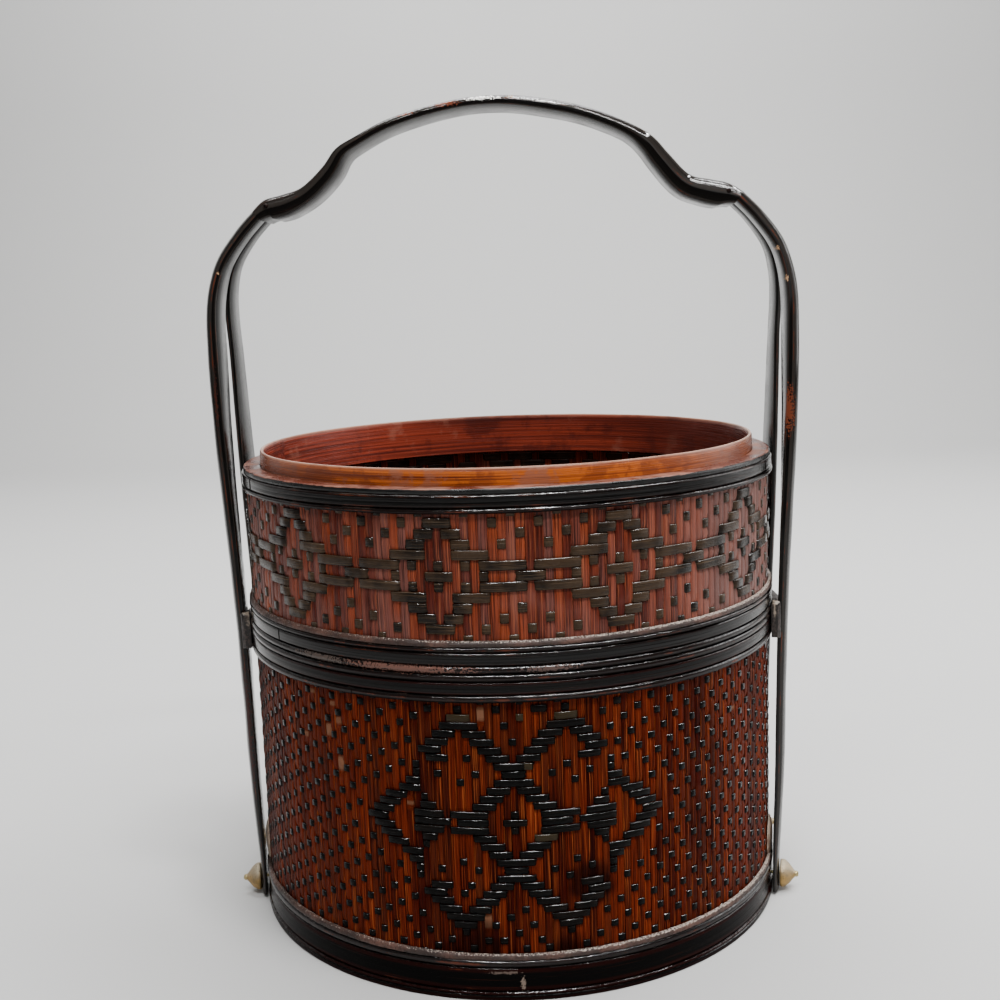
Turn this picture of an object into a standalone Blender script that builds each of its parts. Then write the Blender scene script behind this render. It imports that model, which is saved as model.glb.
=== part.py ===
# Two-tier lacquered bamboo food basket with a fixed bow handle.
# Metres, +Z up. The origin is on the ground under the middle of the round tiers,
# and the handle stands across them in the XZ plane.

import math

import bpy
import bmesh
from mathutils import Matrix, Vector

# Tiers, from the middle outwards
BAND_RADIUS = 0.115
HOOP_THICKNESS = 0.0017
WALL_THICKNESS = 0.0024
COLLAR_THICKNESS = 0.0018
COLLAR_PLAY = 0.0003
PACKING_THICKNESS = 0.0034

# Tiers, upwards
LOWER_TIER_HEIGHT = 0.1264
UPPER_TIER_HEIGHT = 0.0675
BASE_RIB_HEIGHT = 0.0033
RIB_HEIGHT = 0.0027
FINE_RIB_HEIGHT = 0.0019
BASE_HOOP_HEIGHT = 0.0092
HOOP_HEIGHT = 0.0046
EDGE_STRIP_HEIGHT = 0.0021
LEDGE_THICKNESS = 0.0019
COLLAR_RISE = 0.0064
COLLAR_DEPTH = 0.0125
FLOOR_THICKNESS = 0.0024
BATTEN_WIDTH = 0.011

# Handle
HANDLE_HEIGHT = 0.344
STRIP_WIDTH = 0.026
STRIP_THICKNESS = 0.005
LEG_WIDTH = 0.017
LEFT_FOOT_GAP = 0.027
RIGHT_FOOT_GAP = 0.037
SHOULDER_SLOPE = math.radians(42.0)
PIN_RADIUS = 0.00095

# Side rails, foot bosses, nails and packing slips
RAIL_HALF_LENGTH = 0.026
RAIL_HEIGHT = 0.0108
BOSS_RADIUS = 0.0057
BOSS_LENGTH = 0.0062
BOSS_TIP_RADIUS = 0.0019
NAIL_RADIUS = 0.0007
NAIL_STAND_OFF = 0.0016
SLIP_HEIGHT = 0.0150
SLIP_WIDTH = 0.0100

# Clearance between pieces that lie against each other, and the mesh's own fineness
FIT_GAP = 0.0003
MERGE_DISTANCE = 0.00001
RING_STEPS = 56
ROD_SIDES = 16
BOSS_SIDES = 24

# Half sections of hoops and ribs, as shares of their thickness and height
RIB_SHARES = ((0.60, 1.00), (1.00, 0.74), (1.00, 0.26), (0.60, 0.00), (0.00, 0.00), (0.00, 1.00))
HOOP_SHARES = ((0.62, 1.00), (0.88, 0.93), (0.88, 0.07), (0.62, 0.00), (0.00, 0.00), (0.00, 1.00))
EDGE_SHARES = ((0.34, 1.00), (0.80, 0.00), (0.00, 0.00), (0.00, 1.00))
PLAIN_SHARES = ((1.00, 1.00), (1.00, 0.00), (0.00, 0.00), (0.00, 1.00))
LIP_SHARES = ((0.78, 1.00), (1.00, 0.97), (1.00, 0.00), (0.00, 0.00), (0.00, 0.97), (0.22, 1.00))

# Bow from the left shoulder to the right one: reach as a share of the shoulder's reach,
# height as a share of the handle's, and thickness as a share of the strip's
BOW_SHARES = (
    (-1.000, 0.8750, 1.18), (-0.951, 0.8875, 1.72), (-0.875, 0.8930, 1.76), (-0.791, 0.9017, 1.44),
    (-0.705, 0.9238, 1.32), (-0.648, 0.9445, 1.08), (-0.578, 0.9567, 0.86), (-0.412, 0.9791, 0.82),
    (-0.168, 0.9962, 0.78), (0.033, 1.0000, 0.83), (0.231, 0.9927, 0.94), (0.389, 0.9805, 0.94),
    (0.547, 0.9613, 1.04), (0.638, 0.9448, 1.40), (0.703, 0.9235, 1.60), (0.783, 0.8983, 1.72),
    (0.862, 0.8916, 1.98), (0.941, 0.8855, 1.86), (1.000, 0.8750, 1.18),
)
# Leg from the shoulder down: height as a share of the handle's, stand-off from the bands as a
# share of their radius, split as a share of half the foot gap, width as a share of the way from
# half a strip to the full leg, front and rear thickness as shares of the strip's, and twist as
# a share of the turn that lays the leg flat against the round bands
LEG_SHARES = (
    (0.8750, -0.1435, 0.000, 0.00, 0.98, 0.98, 0.00), (0.8517, -0.0765, 0.018, 0.08, 1.00, 0.94, 0.00),
    (0.8192, -0.0070, 0.075, 0.37, 1.02, 0.88, 0.00), (0.7866, 0.0270, 0.168, 0.66, 1.04, 0.80, 0.00),
    (0.7500, 0.0409, 0.285, 0.90, 1.10, 0.74, 0.00), (0.6977, 0.0409, 0.420, 1.00, 1.16, 0.72, 0.08),
    (0.6192, 0.0391, 0.530, 1.00, 1.12, 0.72, 0.40), (0.5465, 0.0343, 0.580, 1.00, 1.05, 0.72, 0.70),
    (0.4506, 0.0243, 0.640, 1.00, 0.96, 0.72, 1.00), (0.3634, 0.0165, 0.700, 1.00, 0.88, 0.70, 1.00),
    (0.2616, 0.0113, 0.790, 0.96, 0.82, 0.66, 1.00), (0.1599, 0.0078, 0.880, 0.86, 0.76, 0.62, 1.00),
    (0.0872, 0.0030, 0.950, 0.80, 0.62, 0.56, 1.00), (0.0407, 0.0017, 1.000, 0.76, 0.50, 0.50, 1.00),
    (0.0044, 0.0017, 1.000, 0.72, 0.50, 0.50, 1.00),
)
# Strip section: across as a share of the width, and out as a share of the thickness
LEG_SECTION_SHARES = (
    (-0.50, 0.00), (0.50, 0.00), (0.50, 0.36), (0.42, 0.70), (0.20, 1.00), (-0.20, 1.00), (-0.42, 0.70),
    (-0.50, 0.36),
)
BOW_SECTION_SHARES = (
    (-0.50, 0.00), (0.50, 0.00), (0.50, 0.52), (0.45, 0.84), (0.34, 1.00), (-0.34, 1.00), (-0.45, 0.84),
    (-0.50, 0.52),
)
BOSS_FACE_SHARE = 0.34
PIN_DEPTH_SHARE = 0.36
PIN_REACH_SHARE = 0.951
BATTEN_REACH_SHARE = 0.38
SLIP_TOP_SHARE = 0.40

COLOURS = {
    "black_lacquer": ((0.018, 0.016, 0.015), 0.34, 0.0),
    "rubbed_lacquer": ((0.200, 0.070, 0.036), 0.46, 0.0),
    "amber_lacquer": ((0.300, 0.080, 0.030), 0.42, 0.0),
    "red_weave": ((0.110, 0.022, 0.010), 0.60, 0.0),
    "rose_weave": ((0.190, 0.085, 0.062), 0.62, 0.0),
    "bare_bamboo": ((0.420, 0.300, 0.210), 0.70, 0.0),
    "dark_board": ((0.055, 0.022, 0.015), 0.60, 0.0),
    "aged_brass": ((0.430, 0.350, 0.200), 0.52, 1.0),
    "brass": ((0.600, 0.480, 0.240), 0.36, 1.0),
}


def clear_scene():
    for item in list(bpy.data.objects):
        bpy.data.objects.remove(item, do_unlink=True)


def new_collection(name):
    collection = bpy.data.collections.new(name)
    bpy.context.scene.collection.children.link(collection)
    return collection


def new_material(name):
    colour, rough, metal = COLOURS[name]
    material = bpy.data.materials.new(name)
    material.use_nodes = True
    shader = material.node_tree.nodes["Principled BSDF"]
    shader.inputs["Base Color"].default_value = (*colour, 1.0)
    shader.inputs["Roughness"].default_value = rough
    shader.inputs["Metallic"].default_value = metal
    material.diffuse_color = (*colour, 1.0)
    return material


clear_scene()
PARTS = new_collection("tiered_bamboo_basket")
CUTTERS = new_collection("cutters")
MATERIALS = {name: new_material(name) for name in COLOURS}
BASKET = bpy.data.objects.new("basket_frame", None)
UPPER = bpy.data.objects.new("upper_tier_frame", None)
for empty in (BASKET, UPPER):
    PARTS.objects.link(empty)
UPPER.parent = BASKET


def add_piece(name, mesh, material, parent=BASKET):
    piece = bpy.data.objects.new(name, mesh)
    mesh.materials.append(MATERIALS[material])
    PARTS.objects.link(piece)
    piece.parent = parent
    return piece


def add_cutter(name, mesh):
    cutter = bpy.data.objects.new(name, mesh)
    CUTTERS.objects.link(cutter)
    cutter.hide_render = True
    cutter.display_type = "WIRE"
    return cutter


def cut(piece, cutter):
    boolean = piece.modifiers.new("hole", "BOOLEAN")
    boolean.operation = "DIFFERENCE"
    boolean.solver = "EXACT"
    boolean.object = cutter


def profile_mesh(name, points, closed=True):
    count = len(points)
    edges = [(i, (i + 1) % count) for i in range(count if closed else count - 1)]
    mesh = bpy.data.meshes.new(name)
    mesh.from_pydata([(r, 0.0, z) for r, z in points], edges, [])
    return mesh


def screw(piece, steps):
    turn = piece.modifiers.new("turn", "SCREW")
    turn.axis = "Z"
    turn.steps = steps
    turn.render_steps = steps
    turn.use_merge_vertices = True
    turn.merge_threshold = MERGE_DISTANCE
    turn.use_smooth_shade = True


def ring(name, material, inner, outer, low, high, shares, parent=BASKET):
    points = [(inner + (outer - inner) * across, low + (high - low) * up) for across, up in shares]
    piece = add_piece(name, profile_mesh(name, points), material, parent)
    screw(piece, RING_STEPS)
    return piece


def disc(name, material, radius, low, high, parent=BASKET):
    points = [(0.0, high), (radius, high), (radius, low), (0.0, low)]
    piece = add_piece(name, profile_mesh(name, points, closed=False), material, parent)
    screw(piece, RING_STEPS)
    return piece


def rod_mesh(name, radius, length):
    mesh = bpy.data.meshes.new(name)
    shape = bmesh.new()
    bmesh.ops.create_cone(shape, cap_ends=True, segments=ROD_SIDES, radius1=radius, radius2=radius,
                          depth=length)
    shape.to_mesh(mesh)
    shape.free()
    return mesh


def loft_mesh(name, sections):
    """A strip through unlike sections, each a loop of points seen from its end."""
    shape = bmesh.new()
    loops = [[shape.verts.new(point) for point in section] for section in sections]
    for first, second in zip(loops, loops[1:]):
        for i in range(len(first)):
            j = (i + 1) % len(first)
            shape.faces.new((first[i], first[j], second[j], second[i]))
    shape.faces.new(list(reversed(loops[0])))
    shape.faces.new(loops[-1])
    bmesh.ops.recalc_face_normals(shape, faces=shape.faces)
    mesh = bpy.data.meshes.new(name)
    shape.to_mesh(mesh)
    shape.free()
    mesh.shade_smooth()
    mesh.set_sharp_from_angle(angle=math.radians(34.0))
    return mesh


def smooth_rows(rows, parts):
    """Rows between the given ones, on a curve that passes through each of them."""
    result = []
    for k in range(len(rows) - 1):
        before, start, end, after = (rows[min(max(k + i, 0), len(rows) - 1)] for i in (-1, 0, 1, 2))
        for part in range(parts):
            t = part / parts
            weights = (-t + 2 * t**2 - t**3, 2 - 5 * t**2 + 3 * t**3,
                       t + 4 * t**2 - 3 * t**3, -t**2 + t**3)
            near = zip(before, start, end, after)
            result.append(tuple(sum(w * v for w, v in zip(weights, values)) / 2 for values in near))
    result.append(rows[-1])
    return result


# Radii and heights that follow from the driving sizes
WALL_OUTER = BAND_RADIUS - HOOP_THICKNESS - FIT_GAP
WALL_INNER = WALL_OUTER - WALL_THICKNESS
PACKING_OUTER = WALL_INNER - FIT_GAP
PACKING_INNER = PACKING_OUTER - PACKING_THICKNESS
COLLAR_OUTER = PACKING_INNER - COLLAR_PLAY
COLLAR_INNER = COLLAR_OUTER - COLLAR_THICKNESS
HOOP_INNER = BAND_RADIUS - HOOP_THICKNESS
UPPER_BASE = LOWER_TIER_HEIGHT + FIT_GAP
UPPER_TOP = UPPER_BASE + UPPER_TIER_HEIGHT


def stack(bottom, heights):
    """Low and high of each ring in a pile that keeps the fitting gap between them."""
    spans = []
    for height in heights:
        spans.append((bottom, bottom + height))
        bottom += height + FIT_GAP
    return spans


def build_lower_tier():
    base = stack(0.0, (BASE_RIB_HEIGHT, BASE_HOOP_HEIGHT, RIB_HEIGHT, EDGE_STRIP_HEIGHT))
    ring("base_bottom_rib", "black_lacquer", WALL_INNER, BAND_RADIUS, *base[0], RIB_SHARES)
    ring("base_hoop", "black_lacquer", HOOP_INNER, BAND_RADIUS, *base[1], HOOP_SHARES)
    ring("base_top_rib", "black_lacquer", HOOP_INNER, BAND_RADIUS, *base[2], RIB_SHARES)
    ring("base_edge_strip", "bare_bamboo", HOOP_INNER, BAND_RADIUS, *base[3], EDGE_SHARES)
    band = RIB_HEIGHT + FIT_GAP + HOOP_HEIGHT + FIT_GAP + RIB_HEIGHT
    top = stack(LOWER_TIER_HEIGHT - band, (RIB_HEIGHT, HOOP_HEIGHT, RIB_HEIGHT))
    ring("lower_rim_bottom_rib", "black_lacquer", HOOP_INNER, BAND_RADIUS, *top[0], RIB_SHARES)
    ring("lower_rim_hoop", "black_lacquer", HOOP_INNER, BAND_RADIUS, *top[1], HOOP_SHARES)
    ring("lower_rim_top_rib", "black_lacquer", HOOP_INNER, BAND_RADIUS, *top[2], RIB_SHARES)
    ledge = LOWER_TIER_HEIGHT - LEDGE_THICKNESS
    ring("lower_wall", "red_weave", WALL_INNER, WALL_OUTER, base[1][0], ledge - FIT_GAP, PLAIN_SHARES)
    ring("lower_ledge_ring", "rubbed_lacquer", COLLAR_OUTER + FIT_GAP, WALL_OUTER, ledge,
         LOWER_TIER_HEIGHT, PLAIN_SHARES)
    ring("lower_packing_hoop", "dark_board", PACKING_INNER, PACKING_OUTER,
         LOWER_TIER_HEIGHT - COLLAR_DEPTH, ledge - FIT_GAP, PLAIN_SHARES)
    ring("lower_collar", "amber_lacquer", COLLAR_INNER, COLLAR_OUTER,
         LOWER_TIER_HEIGHT - COLLAR_DEPTH, LOWER_TIER_HEIGHT + COLLAR_RISE, LIP_SHARES)
    floor_low = base[1][0] + FIT_GAP
    disc("lower_floor", "dark_board", PACKING_OUTER, floor_low, floor_low + FLOOR_THICKNESS)
    for side, name in ((-1, "left"), (1, "right")):
        build_batten(name + "_floor_batten", side * BATTEN_REACH_SHARE * BAND_RADIUS,
                     floor_low - FIT_GAP)


def build_batten(name, x, top):
    reach = abs(x) + BATTEN_WIDTH / 2
    half = math.sqrt((WALL_INNER - FIT_GAP * 2)**2 - reach**2)
    thick = BASE_RIB_HEIGHT - FIT_GAP
    mesh = bpy.data.meshes.new(name)
    shape = bmesh.new()
    bmesh.ops.create_cube(shape, size=1.0)
    bmesh.ops.scale(shape, vec=(BATTEN_WIDTH, half * 2, thick), verts=shape.verts)
    shape.to_mesh(mesh)
    shape.free()
    piece = add_piece(name, mesh, "black_lacquer")
    piece.location = (x, 0.0, top - thick / 2)


def build_upper_tier():
    base = stack(UPPER_BASE, (RIB_HEIGHT, HOOP_HEIGHT, FINE_RIB_HEIGHT, EDGE_STRIP_HEIGHT))
    names = ("upper_foot_bottom_rib", "upper_foot_hoop", "upper_foot_top_rib")
    for name, span, shares in zip(names, base, (RIB_SHARES, HOOP_SHARES, RIB_SHARES)):
        ring(name, "black_lacquer", HOOP_INNER, BAND_RADIUS, *span, shares, UPPER)
    ring("upper_edge_strip", "bare_bamboo", HOOP_INNER, BAND_RADIUS, *base[3], EDGE_SHARES, UPPER)
    ledge = UPPER_TOP - LEDGE_THICKNESS
    band = FINE_RIB_HEIGHT + FIT_GAP + HOOP_HEIGHT + FIT_GAP
    top = stack(ledge - band, (FINE_RIB_HEIGHT, HOOP_HEIGHT))
    ring("upper_rim_rib", "black_lacquer", HOOP_INNER, BAND_RADIUS, *top[0], RIB_SHARES, UPPER)
    ring("upper_rim_hoop", "black_lacquer", HOOP_INNER, BAND_RADIUS, *top[1], HOOP_SHARES, UPPER)
    ring("upper_wall", "rose_weave", WALL_INNER, WALL_OUTER, UPPER_BASE, ledge - FIT_GAP,
         PLAIN_SHARES, UPPER)
    ring("upper_ledge_ring", "rubbed_lacquer", COLLAR_OUTER + FIT_GAP, WALL_OUTER + HOOP_THICKNESS / 2,
         ledge, UPPER_TOP, PLAIN_SHARES, UPPER)
    ring("upper_packing_hoop", "dark_board", PACKING_INNER, PACKING_OUTER,
         UPPER_TOP - COLLAR_DEPTH, ledge - FIT_GAP, PLAIN_SHARES, UPPER)
    ring("upper_collar", "amber_lacquer", COLLAR_INNER, COLLAR_OUTER,
         UPPER_TOP - COLLAR_DEPTH, UPPER_TOP + COLLAR_RISE, LIP_SHARES, UPPER)
    floor_low = UPPER_BASE + COLLAR_RISE + COLLAR_PLAY + FIT_GAP
    ring("upper_foot_packing_hoop", "dark_board", PACKING_INNER, PACKING_OUTER, UPPER_BASE,
         floor_low - FIT_GAP, PLAIN_SHARES, UPPER)
    disc("upper_floor", "dark_board", PACKING_OUTER, floor_low, floor_low + FLOOR_THICKNESS, UPPER)


def leg_rows(front, foot_gap):
    """Leg stations: outer face's radius, height, middle across, width, thickness, twist."""
    top_width = STRIP_WIDTH / 2 - FIT_GAP / 2
    rows = []
    for up, stand, split, widen, fore, rear, twist in smooth_rows(LEG_SHARES, 2):
        thick = STRIP_THICKNESS * (fore if front else rear)
        width = top_width + (LEG_WIDTH - top_width) * widen
        middle = FIT_GAP / 2 + foot_gap / 2 * split + width / 2
        radius = BAND_RADIUS + FIT_GAP + thick + stand * BAND_RADIUS
        rows.append((radius, up * HANDLE_HEIGHT, middle, width, thick, twist))
    return rows


def leg_frames(rows, along, across):
    """Each station's outer face middle with its across and inward directions."""
    frames = []
    for k, (radius, height, middle, width, thick, twist) in enumerate(rows):
        angle = math.asin(middle / radius)
        turn = Matrix.Rotation(angle * twist * along * across, 3, "Z")
        place = Vector((along * radius * math.cos(angle), across * middle, height))
        low, high = rows[min(k + 1, len(rows) - 1)], rows[max(k - 1, 0)]
        slope = math.atan2(low[0] - high[0], high[1] - low[1])
        if k == 0:
            slope = math.radians(90.0) - SHOULDER_SLOPE
            place += FIT_GAP * Vector((along * math.cos(SHOULDER_SLOPE), 0.0, -math.sin(SHOULDER_SLOPE)))
        inward = turn @ Vector((-along * math.cos(slope), 0.0, -math.sin(slope)))
        frames.append((place, turn @ Vector((0.0, across, 0.0)), inward, width, thick))
    return frames


def strip_sections(frames, shares):
    sections = []
    for place, sideways, inward, width, thick in frames:
        sections.append([place + sideways * width * a + inward * thick * (1 - b) for a, b in shares])
    return sections


def shoulder_reach():
    radius, _, middle, _, _, _ = leg_rows(True, LEFT_FOOT_GAP)[0]
    return math.sqrt(radius**2 - middle**2)


def bow_frames():
    rows = [(x * shoulder_reach(), z * HANDLE_HEIGHT, t * STRIP_THICKNESS)
            for x, z, t in smooth_rows(BOW_SHARES, 2)]
    frames = []
    for k, (x, z, thick) in enumerate(rows):
        low, high = rows[max(k - 1, 0)], rows[min(k + 1, len(rows) - 1)]
        slope = math.atan2(high[1] - low[1], high[0] - low[0])
        if k == 0:
            slope = SHOULDER_SLOPE
        if k == len(rows) - 1:
            slope = -SHOULDER_SLOPE
        inward = Vector((math.sin(slope), 0.0, -math.cos(slope)))
        frames.append((Vector((x, 0.0, z)), Vector((0.0, 1.0, 0.0)), inward, STRIP_WIDTH, thick))
    return frames


def build_bow():
    frames = bow_frames()
    bow = add_piece("handle_bow", loft_mesh("handle_bow", strip_sections(frames, BOW_SECTION_SHARES)),
                    "black_lacquer")
    reach = PIN_REACH_SHARE * shoulder_reach()
    for side, name in ((-1, "left"), (1, "right")):
        place, _, inward, _, thick = min(frames, key=lambda frame: abs(frame[0].x - side * reach))
        middle = place + inward * thick * PIN_DEPTH_SHARE
        turn = Matrix.Rotation(math.radians(90.0), 4, "X")
        pin = add_piece(name + "_shoulder_pin", rod_mesh(name + "_pin", PIN_RADIUS, STRIP_WIDTH),
                        "rubbed_lacquer")
        pin.matrix_world = Matrix.Translation(middle) @ turn
        hole = add_cutter(name + "_pin_hole", rod_mesh(name + "_pin_hole", PIN_RADIUS + FIT_GAP,
                                                       STRIP_WIDTH * 2))
        hole.matrix_world = Matrix.Translation(middle) @ turn
        cut(bow, hole)


def build_leg(side, along, end, across, foot_gap):
    name = side + "_" + end + "_leg"
    frames = leg_frames(leg_rows(end == "front", foot_gap), along, across)
    leg = add_piece(name, loft_mesh(name, strip_sections(frames, LEG_SECTION_SHARES)), "black_lacquer")
    place, outward = foot_place(frames)
    aim = outward.to_track_quat("Z", "Y").to_matrix().to_4x4()
    hole = add_cutter(name + "_nail_hole", rod_mesh(name + "_nail_hole", NAIL_RADIUS + FIT_GAP,
                                                    STRIP_THICKNESS * 4))
    hole.matrix_world = Matrix.Translation(place) @ aim
    cut(leg, hole)
    build_boss(side + "_" + end, place, outward, aim)
    build_nail(side + "_" + end, place, outward, aim)
    build_slip(side + "_" + end, outward)


def foot_place(frames):
    """Middle of the leg's outer face where its boss sits, and the direction out of it."""
    height = BOSS_RADIUS + LEG_SHARES[-1][0] * HANDLE_HEIGHT
    low = min(frames, key=lambda frame: abs(frame[0].z - height))
    outward = Vector((-low[2].x, -low[2].y, 0.0)).normalized()
    radius = math.hypot(low[0].x, low[0].y)
    return Vector((outward.x * radius, outward.y * radius, height)), outward


def build_boss(name, place, outward, aim):
    bore = NAIL_RADIUS + FIT_GAP
    points = [(BOSS_TIP_RADIUS, BOSS_LENGTH), (BOSS_RADIUS * (1 - BOSS_FACE_SHARE), BOSS_LENGTH / 2),
              (BOSS_RADIUS, BOSS_LENGTH / 5), (BOSS_RADIUS, 0.0), (bore, 0.0), (bore, BOSS_LENGTH)]
    boss = add_piece(name + "_boss", profile_mesh(name + "_boss", points), "aged_brass")
    screw(boss, BOSS_SIDES)
    boss.matrix_world = Matrix.Translation(place + outward * FIT_GAP) @ aim


def build_nail(name, place, outward, aim):
    inner = BAND_RADIUS + FIT_GAP - math.hypot(place.x, place.y)
    head = FIT_GAP + BOSS_LENGTH + FIT_GAP
    head_radius = NAIL_RADIUS + FIT_GAP * 2
    points = [(0.0, head + NAIL_STAND_OFF), (head_radius, head + NAIL_STAND_OFF / 2), (head_radius, head),
              (NAIL_RADIUS, head), (NAIL_RADIUS, inner), (0.0, inner)]
    nail = add_piece(name + "_nail", profile_mesh(name + "_nail", points, closed=False), "brass")
    screw(nail, ROD_SIDES)
    nail.matrix_world = Matrix.Translation(place) @ aim


def build_slip(name, outward):
    """A tapered bamboo slip that packs the leg out from the woven wall above the base band."""
    low = BASE_RIB_HEIGHT + BASE_HOOP_HEIGHT + RIB_HEIGHT + EDGE_STRIP_HEIGHT + FIT_GAP * 4
    inner = WALL_OUTER + FIT_GAP
    thick = BAND_RADIUS - inner
    mesh = bpy.data.meshes.new(name + "_slip")
    shape = bmesh.new()
    bmesh.ops.create_cube(shape, size=1.0)
    for vert in shape.verts:
        taper = SLIP_TOP_SHARE if vert.co.z > 0 else 1.0
        across = vert.co.y * SLIP_WIDTH * (1 + taper) / 2
        vert.co = (inner + (vert.co.x + 0.5) * thick * taper, across, low + (vert.co.z + 0.5) * SLIP_HEIGHT)
    shape.to_mesh(mesh)
    shape.free()
    slip = add_piece(name + "_packing_slip", mesh, "bare_bamboo")
    slip.rotation_euler = (0.0, 0.0, math.atan2(outward.y, outward.x))


def rail_outline(foot_gap):
    """Plan of a rail: an arc that follows the bands, with a tongue out between the legs."""
    top = LOWER_TIER_HEIGHT
    rows = [row for row in leg_rows(True, foot_gap) if top - RAIL_HEIGHT * 3 < row[1] < top + RAIL_HEIGHT * 3]
    outer = min(row[0] - row[4] for row in rows) - FIT_GAP
    tongue = min((r - t) * m / r - w / 2 for r, _, m, w, t, _ in rows) - FIT_GAP
    reach = BAND_RADIUS + FIT_GAP + min(row[4] for row in rows)
    inner = BAND_RADIUS + FIT_GAP
    half = math.asin(RAIL_HALF_LENGTH / inner)
    notch = math.asin(tongue / outer)
    steps = [half * (1 - k / 8) for k in range(17)]
    points = [(inner * math.cos(a), inner * math.sin(a)) for a in steps]
    wing = [-half + (half - notch) * k / 4 for k in range(5)]
    points += [(outer * math.cos(a), outer * math.sin(a)) for a in wing]
    points += [(reach, -tongue), (reach, tongue)]
    points += [(outer * math.cos(a), -outer * math.sin(a)) for a in reversed(wing)]
    return points


def build_rail(side, along, foot_gap):
    curve = bpy.data.curves.new(side + "_side_rail", "CURVE")
    curve.dimensions = "2D"
    curve.fill_mode = "BOTH"
    curve.extrude = RAIL_HEIGHT / 2
    outline = curve.splines.new("POLY")
    points = rail_outline(foot_gap)
    outline.points.add(len(points) - 1)
    for point, (x, y) in zip(outline.points, points):
        point.co = (x * along, y * along, 0.0, 1.0)
    outline.use_cyclic_u = True
    rail = bpy.data.objects.new(side + "_side_rail", curve)
    curve.materials.append(MATERIALS["black_lacquer"])
    PARTS.objects.link(rail)
    rail.parent = BASKET
    rail.location = (0.0, 0.0, LOWER_TIER_HEIGHT - RIB_HEIGHT / 3 - RAIL_HEIGHT / 2)


build_lower_tier()
build_upper_tier()
build_bow()
for side_name, direction, gap in (("left", -1, LEFT_FOOT_GAP), ("right", 1, RIGHT_FOOT_GAP)):
    build_leg(side_name, direction, "front", -1, gap)
    build_leg(side_name, direction, "rear", 1, gap)
    build_rail(side_name, direction, gap)
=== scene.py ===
# Two-tier food basket of lacquered split bamboo with a bow handle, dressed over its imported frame.
# Metres, +Z up, the ground at 0 and the middle of the round tiers at the origin.

import math

import bmesh
import bpy
import numpy as np
from mathutils import Matrix, Vector


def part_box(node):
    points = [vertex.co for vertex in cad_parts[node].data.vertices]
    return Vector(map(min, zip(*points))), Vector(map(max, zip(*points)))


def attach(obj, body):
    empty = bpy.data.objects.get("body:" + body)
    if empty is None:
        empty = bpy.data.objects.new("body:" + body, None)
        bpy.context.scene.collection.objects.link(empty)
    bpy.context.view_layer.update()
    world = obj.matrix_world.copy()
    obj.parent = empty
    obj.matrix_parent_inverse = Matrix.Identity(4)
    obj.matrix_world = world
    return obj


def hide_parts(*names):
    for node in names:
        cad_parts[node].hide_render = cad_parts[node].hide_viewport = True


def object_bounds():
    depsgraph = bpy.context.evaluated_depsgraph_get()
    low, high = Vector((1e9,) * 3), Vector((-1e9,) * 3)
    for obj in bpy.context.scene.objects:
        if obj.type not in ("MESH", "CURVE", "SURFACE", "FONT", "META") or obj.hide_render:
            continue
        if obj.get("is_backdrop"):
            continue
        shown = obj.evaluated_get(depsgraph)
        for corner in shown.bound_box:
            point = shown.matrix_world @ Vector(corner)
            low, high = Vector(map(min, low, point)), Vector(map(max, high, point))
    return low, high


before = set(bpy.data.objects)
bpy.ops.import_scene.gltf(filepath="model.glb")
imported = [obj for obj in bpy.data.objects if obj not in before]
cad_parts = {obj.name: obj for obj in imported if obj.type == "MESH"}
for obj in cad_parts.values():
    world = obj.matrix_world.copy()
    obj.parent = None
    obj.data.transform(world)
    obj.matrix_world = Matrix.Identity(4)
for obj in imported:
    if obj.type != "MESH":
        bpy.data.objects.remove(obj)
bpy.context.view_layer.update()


# The ground the basket stands on, the lamps round it and the camera that looks down on its
# front a little. The ground is a sheet of pale card that bends up into a plain backdrop.
GROUND_COLOUR = (0.52, 0.518, 0.512)
GROUND_HALF_WIDTH = 9.0
GROUND_FRONT = -9.0
GROUND_BACK = 1.5
GROUND_BEND = 0.7
GROUND_TOP = 2.4
CAMERA_PLACE = Vector((0.02162, -0.54825, 0.25805))
CAMERA_YAW = math.radians(2.6)
CAMERA_DROP = 0.155164
CAMERA_ROLL = -0.0362853
CAMERA_LENS = 45.0
CAMERA_SENSOR = 36.0
LAMPS = (
    ("ceiling_lamp", (0.16, -0.25, 1.30), (0.02, 0.0, 0.15), 0.16, 0.16, 7.5),
    ("tube_lamp", (0.10, -0.66, 1.15), (0.0, 0.0, 0.12), 1.10, 0.035, 16.0),
    ("right_tube_lamp", (0.72, 0.02, 1.22), (0.0, 0.0, 0.12), 1.00, 0.035, 8.0),
    ("soft_lamp", (0.45, -1.30, 1.20), (0.0, 0.0, 0.12), 0.90, 0.90, 3.0),
    ("left_lamp", (-1.30, 0.55, 0.60), (0.0, 0.0, 0.15), 0.90, 0.90, 0.8),
    ("right_lamp", (1.25, 0.35, 0.60), (0.0, 0.0, 0.15), 0.90, 0.90, 8.0),
    ("backdrop_lamp", (0.0, 0.55, 1.70), (0.0, 1.9, 0.45), 1.20, 1.20, 78.0),
)
ROOM_LIGHT = 0.13


def plug(tree, value, socket):
    """Links a node's output to a socket, or sets the socket to a plain value."""
    if isinstance(value, bpy.types.NodeSocket):
        tree.links.new(value, socket)
    else:
        socket.default_value = value


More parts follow.
